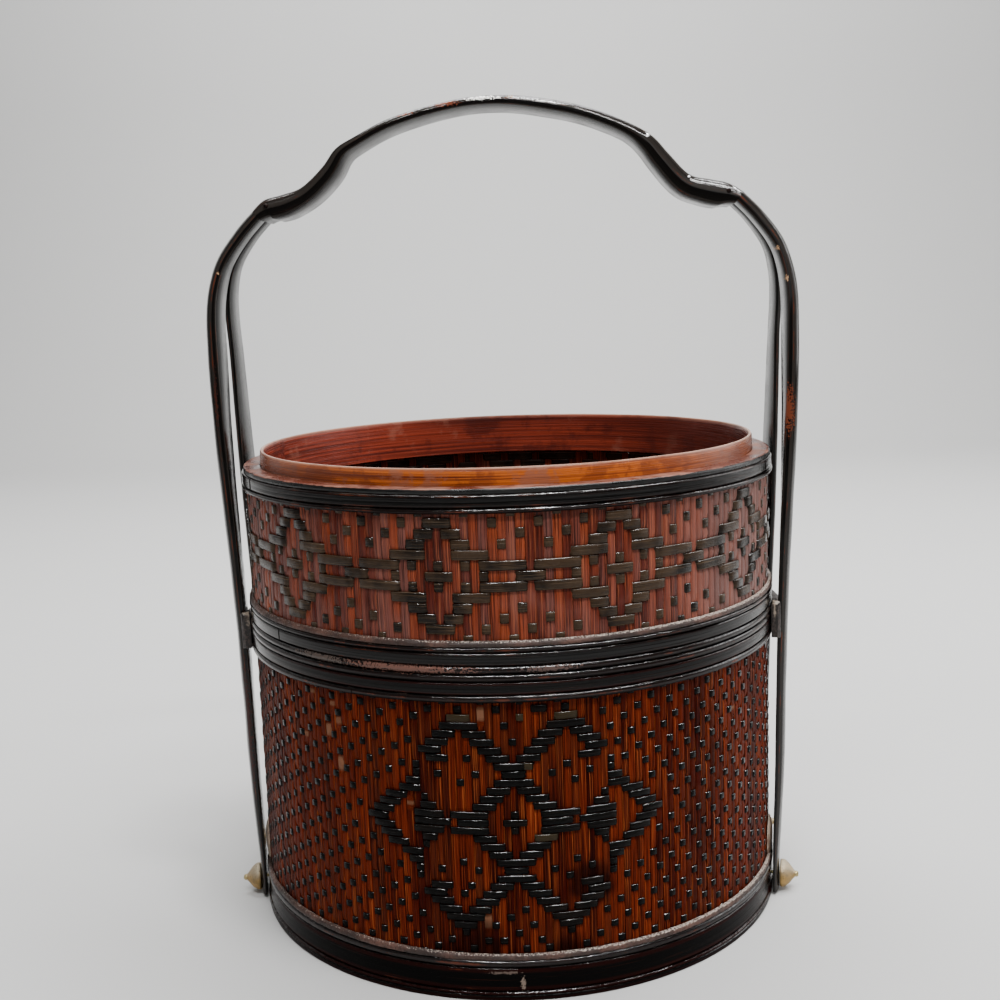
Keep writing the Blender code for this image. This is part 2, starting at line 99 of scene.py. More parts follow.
class Finish:
    """One surface finish, put together from noise over the piece."""

    def __init__(self, name):
        self.material = bpy.data.materials.new(name)
        self.material.use_nodes = True
        self.tree = self.material.node_tree
        self.shader = self.tree.nodes["Principled BSDF"]

    def node(self, kind, *sockets, **settings):
        made = self.tree.nodes.new(kind)
        for key, value in settings.items():
            setattr(made, key, value)
        for place, value in enumerate(sockets):
            if value is not None:
                plug(self.tree, value, made.inputs[place])
        return made

    def set(self, socket, value):
        plug(self.tree, value, self.shader.inputs[socket])

    def place(self):
        return self.node("ShaderNodeTexCoord").outputs["Object"]

    def drawn(self, name, output="Vector"):
        """A value that was given to each point of the mesh when it was made."""
        return self.node("ShaderNodeAttribute", attribute_name=name).outputs[output]

    def part(self, vector, axis):
        return self.node("ShaderNodeSeparateXYZ", vector).outputs[axis]

    def stretched(self, vector, by):
        return self.node("ShaderNodeVectorMath", vector, by, operation="MULTIPLY").outputs[0]

    def noise(self, vector, scale, detail=3.0, rough=0.55):
        made = self.node("ShaderNodeTexNoise", vector)
        made.inputs["Scale"].default_value = scale
        made.inputs["Detail"].default_value = detail
        made.inputs["Roughness"].default_value = rough
        return made.outputs["Fac"]

    def between(self, value, low, high, start=0.0, end=1.0):
        made = self.node("ShaderNodeMapRange", value, low, high, start, end)
        made.interpolation_type = "SMOOTHSTEP"
        return made.outputs[0]

    def maths(self, operation, first, second=0.0):
        return self.node("ShaderNodeMath", first, second, operation=operation).outputs[0]

    def mix(self, share, first, second, blend="MIX"):
        made = self.tree.nodes.new("ShaderNodeMix")
        made.data_type = "RGBA"
        made.blend_type = blend
        for place, value in ((0, share), (6, first), (7, second)):
            plug(self.tree, (*value, 1.0) if isinstance(value, tuple) else value, made.inputs[place])
        return made.outputs[2]

    def cover(self, tone, colour, value, low, high, start=0.0, end=1.0):
        """The tone, covered by a colour where a value goes from low to high."""
        return self.mix(self.between(value, low, high, start, end), tone, colour)

    def fibres(self, along, across, strip, detail, rough):
        """Noise drawn out along a strip's fibres, and other on each strip."""
        return self.noise(self.stretched(self.drawn("grain"), (along, across, strip)), 1.0, detail, rough)

    def coat(self, tone, roughness, height, depth, shine=0.5):
        """Colour, roughness, a fine relief of the given depth, and how much it mirrors."""
        self.set("Base Color", tone)
        self.set("Roughness", roughness)
        self.set("Specular IOR Level", shine)
        made = self.node("ShaderNodeBump")
        made.inputs["Strength"].default_value = 1.0
        made.inputs["Distance"].default_value = depth
        plug(self.tree, height, made.inputs["Height"])
        self.set("Normal", made.outputs[0])


def ground_card():
    """Half a pipe of card: flat in front, bent up behind the basket."""
    line = [(GROUND_FRONT, 0.0), (GROUND_BACK, 0.0)]
    for step in range(1, 13):
        turn = math.radians(90.0) * step / 12
        line.append((GROUND_BACK + GROUND_BEND * math.sin(turn), GROUND_BEND * (1 - math.cos(turn))))
    line.append((GROUND_BACK + GROUND_BEND, GROUND_TOP))
    points = [(side * GROUND_HALF_WIDTH, y, z) for y, z in line for side in (-1, 1)]
    faces = [(2 * k, 2 * k + 1, 2 * k + 3, 2 * k + 2) for k in range(len(line) - 1)]
    mesh = bpy.data.meshes.new("ground")
    mesh.from_pydata(points, [], faces)
    mesh.shade_smooth()
    return bpy.data.objects.new("ground", mesh)


ground = ground_card()
bpy.context.scene.collection.objects.link(ground)
card = Finish("ground_card")
shade = tuple(c * 0.96 for c in GROUND_COLOUR)
card.set("Base Color", card.mix(card.noise(card.place(), 3.0), GROUND_COLOUR, shade))
card.set("Roughness", 0.85)
ground.data.materials.append(card.material)
ground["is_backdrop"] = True

for lamp_name, lamp_place, lamp_aim, lamp_width, lamp_depth, lamp_power in LAMPS:
    lamp = bpy.data.lights.new(lamp_name, "AREA")
    lamp.shape = "RECTANGLE"
    lamp.size = lamp_width
    lamp.size_y = lamp_depth
    lamp.energy = lamp_power
    holder = bpy.data.objects.new(lamp_name, lamp)
    holder.location = lamp_place
    holder.rotation_euler = (Vector(lamp_aim) - Vector(lamp_place)).to_track_quat("-Z", "Y").to_euler()
    bpy.context.scene.collection.objects.link(holder)

room = bpy.data.worlds.new("room")
room.use_nodes = True
room.node_tree.nodes["Background"].inputs["Color"].default_value = (1.0, 0.99, 0.97, 1.0)
room.node_tree.nodes["Background"].inputs["Strength"].default_value = ROOM_LIGHT
bpy.context.scene.world = room

turn = Matrix.Rotation(CAMERA_YAW, 3, "Z")
look = turn @ Vector((0.0, math.cos(CAMERA_DROP), -math.sin(CAMERA_DROP)))
level = turn @ Vector((1.0, 0.0, 0.0))
upward = turn @ Vector((0.0, math.sin(CAMERA_DROP), math.cos(CAMERA_DROP)))
right = level * math.cos(CAMERA_ROLL) + upward * math.sin(CAMERA_ROLL)
above = upward * math.cos(CAMERA_ROLL) - level * math.sin(CAMERA_ROLL)
camera = bpy.data.cameras.new("camera")
camera.lens = CAMERA_LENS
camera.sensor_width = CAMERA_SENSOR
camera.clip_start = 0.01
eye = bpy.data.objects.new("camera", camera)
eye.matrix_world = Matrix.Translation(CAMERA_PLACE) @ Matrix((right, above, -look)).transposed().to_4x4()
bpy.context.scene.collection.objects.link(eye)
bpy.context.scene.camera = eye


# The woven wall of the lower box: 250 upright flat splints of red-stained bamboo, and black
# splints woven through them level by level. A black one passes over every fifth upright, and
# over more where the figure of diamonds stands at the front and again at the back.
LOWER_STAKES = 250
LOWER_FIGURE_ARC = 0.00317
LOWER_MIDDLE = 0.06957
LOWER_ROW_PITCH = 0.0031
LOWER_ROWS = range(-15, 21)
LOWER_SHOWN_ROWS = range(-14, 17)
WALL_MIDDLE = 0.1135
STAKE_OUT, STAKE_IN = 0.11305, 0.11225
SPLINT_THICKNESS = 0.0007
WEFT_OUT, WEFT_SINGLE, WEFT_IN, WEFT_HIDDEN = 0.11372, 0.11333, 0.11225, 0.11318
FLOAT_SWELL = 0.00007
LOWER_SPLINT_HEIGHT = 0.00272
LOWER_FIGURE = {
    0: ((-1, 1), (4, 7), (9, 13), (18, 20)), 1: ((0, 0), (4, 8), (10, 13), (17, 19)),
    2: ((3, 5), (11, 12), (16, 18)), 3: ((2, 4), (12, 12), (15, 17)), 4: ((1, 3), (13, 15)),
    5: ((-2, 2), (13, 14)), 6: ((-1, 1), (13, 13)), 7: ((-2, 2), (13, 13)), 8: ((1, 3), (9, 11)),
    9: ((2, 4), (10, 12)), 10: ((3, 5), (9, 11)), 11: ((4, 6), (8, 10)), 12: ((5, 9),),
    13: ((6, 8),), 14: ((7, 7),),
}


def near_figure(figure, across, row, reach=1):
    for other in range(row - reach, row + reach + 1):
        for first, last in figure.get(abs(other), ()):
            if first - reach <= abs(across) <= last + reach:
                return True
    return False


def in_figure(figure, across, row):
    return any(first <= abs(across) <= last for first, last in figure.get(abs(row), ()))


def lower_chart(stake, row):
    """Whether the level splint of this row passes over this upright."""
    across = (stake + 62) % 125 - 62
    if in_figure(LOWER_FIGURE, across, row):
        return True
    if near_figure(LOWER_FIGURE, across, row):
        return False
    wide, tall = abs(across), abs(row)
    if tall <= 4 and wide <= 3 - tall + 1:
        return False
    if tall <= 4 and wide < 17 - tall:
        return False
    if 4 <= tall <= 8 and 3 < wide < 13 and wide > 6 - tall:
        side = 1 if row < 0 else -1
        return (across + side * 2 * row) % 5 == 3
    if wide <= 3 and row <= -8:
        return (across + 2 * row) % 5 == 0
    if wide <= 3 and row >= 8:
        return (across + 2 * row) % 5 == 3
    return (across + 2 * row) % 5 == 1


class Strips:
    """Split bamboo strips gathered into one mesh, each a skin over rings of points."""

    def __init__(self, name):
        self.name = name
        self.points, self.faces, self.grain, self.worn = [], [], [], []
        self.count = 0

    def lay(self, rings, along, across, tone, worn=0.0, endless=False):
        """Adds a strip: rings of points, metres along and across it, its tone and its wear."""
        steps, sides = rings.shape[:2]
        index = self.count + np.arange(steps * sides).reshape(steps, sides)
        here, there = (index, np.roll(index, -1, 0)) if endless else (index[:-1], index[1:])
        quads = np.stack([here, np.roll(here, -1, 1), np.roll(there, -1, 1), there], 2)
        self.faces.extend(quads.reshape(-1, 4).tolist())
        if not endless:
            self.faces.append(index[0][::-1].tolist())
            self.faces.append(index[-1].tolist())
        shape = (steps, sides)
        grain = np.stack([np.broadcast_to(v, shape) for v in (along, across, tone)], 2)
        self.points.append(rings.reshape(-1, 3))
        self.grain.append(grain.reshape(-1, 3))
        self.worn.append(np.broadcast_to(worn, shape).reshape(-1))
        self.count += steps * sides

    def piece(self, material, body, slot, node=None, sharp=40.0):
        """The finished piece, riding on its body and standing for the frame's own node."""
        mesh = bpy.data.meshes.new(self.name)
        mesh.from_pydata(np.concatenate(self.points).tolist(), [], self.faces)
        for name, kind, values in (("grain", "FLOAT_VECTOR", self.grain), ("worn", "FLOAT", self.worn)):
            drawn = mesh.attributes.new(name, kind, "POINT")
            values = np.concatenate(values).astype(np.float32).ravel()
            drawn.data.foreach_set("vector" if kind == "FLOAT_VECTOR" else "value", values)
        shape = bmesh.new()
        shape.from_mesh(mesh)
        bmesh.ops.recalc_face_normals(shape, faces=shape.faces)
        shape.to_mesh(mesh)
        shape.free()
        mesh.shade_smooth()
        mesh.set_sharp_from_angle(angle=math.radians(sharp))
        made = bpy.data.objects.new(self.name, mesh)
        bpy.context.scene.collection.objects.link(made)
        mesh.materials.append(material)
        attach(made, body)
        if node:
            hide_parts(node)


def around(radius, angle, height):
    """Points at angles from the front, turning to the right."""
    radius, angle, height = np.broadcast_arrays(radius, angle, height)
    return np.stack([radius * np.sin(angle), -radius * np.cos(angle), height], -1)


def drift(position, seed, waves, reach):
    """A smooth random wave round the basket that meets itself again."""
    chance = np.random.default_rng(seed)
    total = np.zeros_like(np.asarray(position, float))
    for wave in range(1, waves + 1):
        total += chance.normal() * np.sin(wave * position + chance.uniform(0, 2 * math.pi)) / wave**0.5
    return total * reach / max(waves, 1)**0.5


UPRIGHT_SECTION = (
    (-0.56, 0.10), (-0.44, 0.80), (-0.24, 1.0), (0.24, 1.0), (0.44, 0.80), (0.56, 0.10), (0.0, 0.0),
)
LEVEL_SECTION = (
    (-0.50, 0.05), (-0.49, 0.60), (-0.40, 0.94), (0.34, 1.0), (0.43, 0.90), (0.485, 0.68), (0.50, 0.40),
    (0.50, 0.05),
)
UNEVEN = 0.00004
STAKE_DRIFT = 0.00006
STAKE_FILL, STAKE_FILL_SPREAD = 0.985, 0.012
ROW_CLEAR = 0.0005
FLOAT_END, FLOAT_DIP, FLOAT_LOOSE = 0.49, 0.13, (-0.06, 0.09)
DIP_START, DIP_END = 0.00003, 0.0007
DIP_START_WIDTH, DIP_END_WIDTH = 0.98, 0.94
LEVEL_WAVE, LEVEL_WIDTH_WAVE = 0.00014, 0.05
NEXT_STAKE, NEXT_ROW = 0.37, 0.77
BARE_TONE = 1.5


def is_bare(patches, splint, place):
    """Whether bare bamboo shows there, from rows of splint, first place and last place."""
    return any(splint == bare and first <= place <= last for bare, first, last in patches)


def weave_uprights(strips, wall, low, high, seed, sway, patches=()):
    """Upright splints from low to high that go behind the level ones where the chart says so."""
    chart, stakes, start, middle, pitch, rows, first = wall
    chance = np.random.default_rng(seed)
    turn = 2 * math.pi / stakes
    heights = np.array([middle - pitch * row for row in rows][::-1])
    section = np.array(UPRIGHT_SECTION)
    for stake in range(first, first + stakes):
        under = np.array([chart(stake, row) for row in rows][::-1])
        out = np.where(under, STAKE_IN, STAKE_OUT) + chance.normal(0, UNEVEN)
        keep = (heights > low + ROW_CLEAR) & (heights < high - ROW_CLEAR)
        tall = np.concatenate([[low], heights[keep], [high]])
        out = np.concatenate([[STAKE_OUT], out[keep], [STAKE_OUT]])
        centre = start + stake * turn + chance.normal(0, STAKE_DRIFT) / WALL_MIDDLE
        lean = chance.normal(0, sway)
        width = WALL_MIDDLE * turn * (STAKE_FILL + chance.normal(0, STAKE_FILL_SPREAD))
        angle = centre + lean * (tall - middle) / WALL_MIDDLE
        angle = angle[:, None] + section[None, :, 0] * width / WALL_MIDDLE
        radius = out[:, None] - (1 - section[None, :, 1]) * SPLINT_THICKNESS
        rings = around(radius, angle, tall[:, None])
        bare = [is_bare(patches, stake, (middle - z) / pitch) for z in tall]
        tone = np.where(bare, BARE_TONE, chance.random())
        along = tall[:, None] + stake * NEXT_STAKE
        strips.lay(rings, along, section[None, :, 0] * width, tone[:, None])


def weave_levels(strips, wall, shown, height, seed, press=None, patches=()):
    """Level splints round the wall, out where the chart says so and behind the uprights elsewhere."""
    chart, stakes, start, middle, pitch, rows, first = wall
    chance = np.random.default_rng(seed)
    turn = 2 * math.pi / stakes
    section = np.array(LEVEL_SECTION)
    for row in rows:
        over = [chart(stake, row) for stake in range(first, first + stakes)]
        if row not in shown:
            over = [(stake + 2 * row) % 5 == 1 for stake in range(first, first + stakes)]
        level = middle - pitch * row
        path = []  # place in uprights, distance out, share of the width
        for k, stake in enumerate(range(first, first + stakes)):
            before, after = over[k - 1], over[(k + 1) % stakes]
            if not over[k]:
                if before or after:
                    path.append((stake, WEFT_IN, 1.0))
                continue
            out = WEFT_OUT if before or after else WEFT_SINGLE
            out = (out if row in shown else WEFT_HIDDEN) + chance.normal(0, UNEVEN)
            out = min(out, press(start + stake * turn, level)) if press else out
            if not before:
                end = stake - FLOAT_END - chance.uniform(*FLOAT_LOOSE)
                path.append((end, out - DIP_END, DIP_END_WIDTH))
                path.append((end + FLOAT_DIP, out - DIP_START, DIP_START_WIDTH))
            if before and after:
                path.append((stake, out + FLOAT_SWELL, 1.0))
            if after:
                path.append((stake + 0.5, out - FLOAT_SWELL, 1.0))
            if not after:
                end = stake + FLOAT_END + chance.uniform(*FLOAT_LOOSE)
                path.append((end - FLOAT_DIP, out - DIP_START, DIP_START_WIDTH))
                path.append((end, out - DIP_END, DIP_END_WIDTH))
        places, out, share = np.array(path).T
        angle = start + places * turn
        level = level + drift(angle, seed + 31 * (row + 40), waves=24, reach=LEVEL_WAVE)
        tall = height * share * (1 + drift(angle, seed + 57 * (row + 40), waves=40, reach=LEVEL_WIDTH_WAVE))
        rings = around(out[:, None] - (1 - section[None, :, 1]) * SPLINT_THICKNESS, angle[:, None],
                       level[:, None] + section[None, :, 0] * tall[:, None])
        along = (angle * WALL_MIDDLE)[:, None] + row * NEXT_ROW
        tone = np.where([is_bare(patches, row, place) for place in places], BARE_TONE, chance.random())
        strips.lay(rings, along, section[None, :, 0] * height, tone[:, None], endless=True)


LOWER_BARE_FLOATS = ((-13, -8.5, 8.5), (2, 2.5, 5.5), (-7, 1.2, 2.5))
LOWER_BARE_UPRIGHTS = (
    (-4, -14.6, -12.6), (-4, 11.6, 13.4), (-32, -8.6, -7.2), (-25, -11.6, -10.2), (-25, -6.2, -4.6),
    (-27, -10.2, -8.6), (-30, -14.6, -13.2), (-26, -13.6, -12.4), (35, -9.6, -8.4), (-14, -2.6, -1.4),
)


SLIPS_TOP, SLIPS_NEAR, SLIPS_FAR = 0.036, 0.013, 0.035


def behind_slips(angle, level):
    """How far out a level splint may stand: the packing slips at the feet press it flat."""
    across = abs(math.cos(angle)) * WALL_MIDDLE
    at_slip = level < SLIPS_TOP and SLIPS_NEAR < across < SLIPS_FAR and abs(math.sin(angle)) > 0.9
    return WEFT_HIDDEN if at_slip else 1.0


PALE_BAMBOO, GREY_DUST_AND_SHEEN = (0.190, 0.090, 0.050), (0.200, 0.110, 0.095)


def stained_splints(name, deep, bright, streak, dust, gloss, shine, dark_spots=(), dust_and_sheen_right=0.0):
    """Stained bamboo: every splint its own tone, dark and pale fibres along it, dust in patches."""
    finish = Finish(name)
    grain = finish.drawn("grain")
    fibres = finish.fibres(30.0, 2600.0, 371.0, 2.0, 0.5)
    hairs = finish.fibres(55.0, 6500.0, 97.0, 2.0, 0.5)
    patches = finish.noise(finish.place(), 34.0, 3.0, 0.6)
    each = finish.fibres(6.0, 60.0, 1913.0, 1.0, 0.4)
    shadow = tuple(c * 0.14 for c in deep)
    tone = finish.cover(deep, bright, finish.part(grain, 2), 0.05, 0.95)
    tone = finish.cover(tone, dust, each, 0.50, 0.66, 0.0, 0.70)
    tone = finish.cover(tone, shadow, fibres, 0.50, 0.37, 0.0, 0.80)
    tone = finish.cover(tone, streak, fibres, 0.57, 0.69, 0.0, 0.65)
    tone = finish.cover(tone, shadow, hairs, 0.46, 0.32, 0.0, 0.7)
    tone = finish.cover(tone, dust, patches, 0.50, 0.74, 0.0, 0.50)
    tone = finish.cover(tone, PALE_BAMBOO, finish.part(grain, 2), 1.10, 1.40, 0.0, 0.80)
    # Towards the right the tone turns grey: partly dust, partly a painted sheen.
    rightward = finish.between(finish.part(finish.place(), 0), 0.045, 0.100, 0.0, dust_and_sheen_right)
    tone = finish.mix(rightward, tone, GREY_DUST_AND_SHEEN)
    # A few round spots darken to the deepest tone, two of them at the foot of the wall.
    for spot, reach in dark_spots:
        away = finish.node("ShaderNodeVectorMath", finish.place(), spot, operation="DISTANCE")
        ragged = finish.between(patches, 0.3, 0.7, -0.4 * reach, 0.4 * reach)
        away = finish.maths("ADD", away.outputs["Value"], ragged)
        tone = finish.cover(tone, shadow, away, reach, 0.4 * reach, 0.0, 0.85)
    height = finish.maths("ADD", fibres, hairs)
    finish.coat(tone, finish.between(fibres, 0.25, 0.75, *gloss), height, depth=0.00018, shine=shine)
    return finish


EDGE_ROUNDING = 0.00014


def dark_splints(name, dark, brown, dust, share, gloss, shine, edge):
    """Black lacquered splints, browner and duller in patches where the lacquer has worn thin.
    The lacquer lies thick and bright along the upper edge, which starts edge from the middle."""
    finish = Finish(name)
    grain = finish.drawn("grain")
    fibres = finish.fibres(40.0, 3600.0, 371.0, 3.0, 0.6)
    patches = finish.noise(finish.place(), 48.0, 3.0, 0.6)
    tone = finish.cover(dark, brown, patches, *share)
    tone = finish.cover(tone, dust, fibres, 0.56, 0.68, 0.0, 0.8)
    tone = finish.cover(tone, dark, fibres, 0.44, 0.34, 0.0, 0.8)
    tone = finish.cover(tone, UNLACQUERED, finish.part(grain, 2), 1.2, 1.4)
    shine = finish.between(finish.part(grain, 1), edge, edge + EDGE_ROUNDING, shine, 1.0)
    finish.coat(tone, finish.between(patches, 0.35, 0.7, *gloss), fibres, depth=0.00022, shine=shine)
    return finish


RED_DEEP, RED_BRIGHT = (0.036, 0.0027, 0.0009), (0.135, 0.0150, 0.0030)
RED_STREAK, RED_DUST = (0.350, 0.082, 0.022), (0.080, 0.014, 0.005)
RED_DARK_SPOTS = (
    ((0.0313, -0.1091, 0.0417), 0.011), ((-0.012, -0.1130, 0.0185), 0.016),
    ((0.020, -0.1115, 0.0190), 0.013),
)
SPLINT_BLACK, SPLINT_BROWN = (0.0016, 0.0013, 0.0012), (0.006, 0.003, 0.002)
SPLINT_DUST = (0.011, 0.008, 0.006)
UNLACQUERED = (0.030, 0.021, 0.011)
red_stain = stained_splints("red_stained_splints", RED_DEEP, RED_BRIGHT, RED_STREAK, RED_DUST,
                            gloss=(0.26, 0.44), shine=0.022, dark_spots=RED_DARK_SPOTS)
black_splint = dark_splints("black_level_splints", SPLINT_BLACK, SPLINT_BROWN, SPLINT_DUST,
                            share=(0.5, 0.75), gloss=(0.08, 0.20), shine=0.055, edge=0.00108)

low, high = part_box("lower_wall")
wall = (lower_chart, LOWER_STAKES, LOWER_FIGURE_ARC / WALL_MIDDLE, LOWER_MIDDLE, LOWER_ROW_PITCH, LOWER_ROWS,
        -LOWER_STAKES // 4)
strips = Strips("lower_wall_uprights")
weave_uprights(strips, wall, low.z, high.z, seed=11, sway=0.0012, patches=LOWER_BARE_UPRIGHTS)
strips.piece(red_stain.material, "basket", "red_weave", "lower_wall")
strips = Strips("lower_wall_level_splints")
weave_levels(strips, wall, LOWER_SHOWN_ROWS, LOWER_SPLINT_HEIGHT, seed=23, press=behind_slips,
             patches=LOWER_BARE_FLOATS)
strips.piece(black_splint.material, "basket", "black_lacquer", sharp=75.0)


# The woven wall of the tray: wider, duller bamboo splints stained rose brown, with a band of
# crosses joined by links all round. Where its mat was closed isn't seen: here it is at the left.
UPPER_STAKES = 212
UPPER_FIGURE_ARC = -0.0217
UPPER_MIDDLE = 0.1624
UPPER_ROW_PITCH = 0.0039
UPPER_SPLINT_HEIGHT = 0.0037
UPPER_ROWS = range(-7, 10)
UPPER_SHOWN_ROWS = range(-5, 7)
UPPER_FIGURE = {
    0: ((-1, 1), (5, 5), (9, 11)), 1: ((0, 0), (3, 3), (5, 9)), 2: ((2, 5),), 3: ((2, 3),),
    4: ((1, 2),), 5: ((-1, 1),),
}


def upper_chart(stake, row):
    """Whether the level splint of this row passes over this upright."""
    across = (stake + 10) % 20 - 10
    if in_figure(UPPER_FIGURE, across, row) or in_figure(UPPER_FIGURE, 20 - abs(across), row):
        return True
    if near_figure(UPPER_FIGURE, across, row) or near_figure(UPPER_FIGURE, 20 - abs(across), row):
        return False
    if abs(row) <= 1:
        return False
    return (stake + 2 * row) % 5 == (1 if row < 0 else 0)


ROSE_DEEP, ROSE_BRIGHT = (0.080, 0.010, 0.005), (0.230, 0.040, 0.014)
ROSE_STREAK, ROSE_DUST = (0.360, 0.105, 0.042), (0.205, 0.078, 0.062)
OLIVE_DARK, OLIVE_BROWN = (0.0075, 0.0045, 0.0028), (0.040, 0.023, 0.012)
OLIVE_DUST = (0.095, 0.062, 0.036)
# The tray's wall greys towards its right with dust and a painted sheen.
rose_stain = stained_splints("rose_stained_splints", ROSE_DEEP, ROSE_BRIGHT, ROSE_STREAK, ROSE_DUST,
                             gloss=(0.28, 0.46), shine=0.15, dust_and_sheen_right=0.62)
olive_splint = dark_splints("olive_level_splints", OLIVE_DARK, OLIVE_BROWN, OLIVE_DUST,
                            share=(0.38, 0.58), gloss=(0.10, 0.30), shine=0.14, edge=0.00148)

low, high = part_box("upper_wall")
wall = (upper_chart, UPPER_STAKES, UPPER_FIGURE_ARC / WALL_MIDDLE, UPPER_MIDDLE, UPPER_ROW_PITCH, UPPER_ROWS,
        -UPPER_STAKES // 4 + 6)
strips = Strips("upper_wall_uprights")
weave_uprights(strips, wall, low.z, high.z, seed=41, sway=0.0019)
strips.piece(rose_stain.material, "upper_tier", "rose_weave", "upper_wall")
strips = Strips("upper_wall_level_splints")
weave_levels(strips, wall, UPPER_SHOWN_ROWS, UPPER_SPLINT_HEIGHT, seed=53)
strips.piece(olive_splint.material, "upper_tier", "black_lacquer", sharp=75.0)


# The black hoops and ribs: flat hoops of split bamboo with half-round ribs beside them, bent
# round the walls, closed in a lap joint and lacquered black. The fibres still show as fine
# lines, and the lacquer has rubbed brown along the edges that stand out.
WALL_INNER = 0.1106
HOOP_INNER = 0.1133
HOOP_STEPS = 260
LAP_STEP = 0.00022
LAP_TAPER = math.radians(24.0)
HOOP_SHAPE = (
    (0.00, 0.00, 0.0), (0.55, 0.00, 0.1), (0.79, 0.04, 0.7), (0.88, 0.12, 1.0), (0.89, 0.22, 0.3),
    (0.89, 0.32, 0.1), (0.89, 0.42, 0.0), (0.89, 0.51, 0.0), (0.89, 0.60, 0.0), (0.89, 0.69, 0.1),
    (0.89, 0.79, 0.3), (0.88, 0.88, 1.0), (0.79, 0.96, 0.7), (0.55, 1.00, 0.1), (0.00, 1.00, 0.0),
)
RIB_SHAPE = (
    (0.00, 0.00, 0.0), (0.50, 0.00, 0.0), (0.80, 0.10, 0.2), (0.95, 0.28, 0.8), (1.00, 0.50, 1.0),
    (0.95, 0.72, 0.8), (0.80, 0.90, 0.2), (0.50, 1.00, 0.0), (0.00, 1.00, 0.0),
)
STANDING_RIB_SHAPE = (
    (0.00, 0.00, 0.0), (0.86, 0.00, 0.4), (0.98, 0.10, 1.0), (1.00, 0.36, 0.4), (0.97, 0.56, 0.2),
    (0.91, 0.63, 0.0), (0.97, 0.70, 0.3), (0.99, 0.84, 0.9), (0.92, 1.00, 0.4), (0.00, 1.00, 0.0),
)
HOOPS = (
    ("base_bottom_rib", "basket", STANDING_RIB_SHAPE, WALL_INNER, 2.4, 0.00002),
    ("base_hoop", "basket", HOOP_SHAPE, HOOP_INNER, 0.018, 0.00005),
    ("base_top_rib", "basket", RIB_SHAPE, HOOP_INNER, 0.9, 0.00002),
    ("lower_rim_bottom_rib", "basket", RIB_SHAPE, HOOP_INNER, -0.52, 0.00002),
    ("lower_rim_hoop", "basket", HOOP_SHAPE, HOOP_INNER, 0.36, 0.00006),
    ("lower_rim_top_rib", "basket", RIB_SHAPE, HOOP_INNER, 1.2, 0.00002),
    ("upper_foot_bottom_rib", "upper_tier", RIB_SHAPE, HOOP_INNER, 0.62, 0.00002),
    ("upper_foot_hoop", "upper_tier", HOOP_SHAPE, HOOP_INNER, -0.9, 0.00006),
    ("upper_foot_top_rib", "upper_tier", RIB_SHAPE, HOOP_INNER, -2.2, 0.00002),
    ("upper_rim_rib", "upper_tier", RIB_SHAPE, HOOP_INNER, 2.0, 0.00002),
    ("upper_rim_hoop", "upper_tier", HOOP_SHAPE, HOOP_INNER, -1.1, 0.00006),
)
HOOP_WAVE, HOOP_SWAY = 0.00004, 0.00003
LACQUER_BLACK, LACQUER_WORN = (0.0018, 0.0015, 0.0014), (0.070, 0.016, 0.007)
LACQUER_DUST = (0.085, 0.058, 0.046)
HOOP_UNDERTONE, MAROON_UNDERTONE = (0.0055, 0.0026, 0.0023), (0.0110, 0.0022, 0.0018)
RIB_MARKS = (
    ((-0.0370, -0.1090, 0.1282), (0.0240, 0.0300, 0.0015), (0.125, 0.060, 0.046)),
    ((-0.0700, -0.0920, 0.1282), (0.0100, 0.0300, 0.0014), (0.070, 0.052, 0.044)),
    ((0.0180, -0.1140, 0.1282), (0.0090, 0.0300, 0.0010), (0.085, 0.052, 0.044)),
)
BASE_MARKS = (
    ((0.0042, -0.1150, 0.0068), (0.0009, 0.0040, 0.0026), (0.200, 0.150, 0.120)),
    ((-0.0030, -0.1150, 0.0112), (0.0050, 0.0040, 0.0005), (0.110, 0.080, 0.066)),
)


def black_coat(name, worn_share, dust_share, lines, undertone, shine, marks=()):
    """Black lacquer over bamboo: brown where its edges have rubbed, with dust on what faces up.
    What faces up also mirrors more, in broken lines, and what faces down less."""
    finish = Finish(name)
    fibres = finish.fibres(22.0, lines, 59.0, 3.0, 0.55)
    patches = finish.noise(finish.place(), 75.0, 5.0, 0.65)
    chips = finish.noise(finish.place(), 1400.0, 2.0, 0.5)
    rubbed = finish.maths("MULTIPLY", finish.drawn("worn", "Fac"), patches)
    tone = finish.cover(LACQUER_BLACK, undertone, finish.drawn("worn", "Fac"), 0.15, 0.70)
    tone = finish.cover(tone, LACQUER_WORN, rubbed, worn_share, worn_share + 0.10)
    tone = finish.cover(tone, LACQUER_WORN, fibres, 0.62, 0.74, 0.0, 0.35)
    facing = finish.part(finish.node("ShaderNodeNewGeometry").outputs["Normal"], 2)
    settled = finish.maths("MULTIPLY", finish.between(facing, 0.35, 0.95), patches)
    tone = finish.cover(tone, LACQUER_DUST, settled, dust_share, dust_share + 0.16, 0.0, 0.75)
    for place, reach, colour in marks:
        away = finish.node("ShaderNodeVectorMath", finish.place(), place, operation="SUBTRACT").outputs[0]
        away = finish.stretched(away, tuple(1 / size for size in reach))
        away = finish.node("ShaderNodeVectorMath", away, operation="LENGTH").outputs["Value"]
        away = finish.maths("ADD", away, finish.between(chips, 0.3, 0.7, -0.6, 0.6))
        tone = finish.cover(tone, colour, away, 1.0, 0.8)
    below = finish.between(facing, -0.45, -0.02, 0.15 * shine, shine)
    above = finish.between(facing, 0.25, 0.60, 0.0, 0.45)
    above = finish.maths("MULTIPLY", above, finish.between(chips, 0.42, 0.58, 0.10, 1.7))
    roughness = finish.between(patches, 0.35, 0.70, 0.04, 0.15)
    finish.coat(tone, roughness, fibres, depth=0.00010, shine=finish.maths("ADD", below, above))
    return finish


def outline_length(points):
    """Distance along a section's outline to each of its points."""
    steps = np.linalg.norm(np.diff(points, axis=0), axis=1)
    return np.concatenate([[0.0], np.cumsum(steps)])


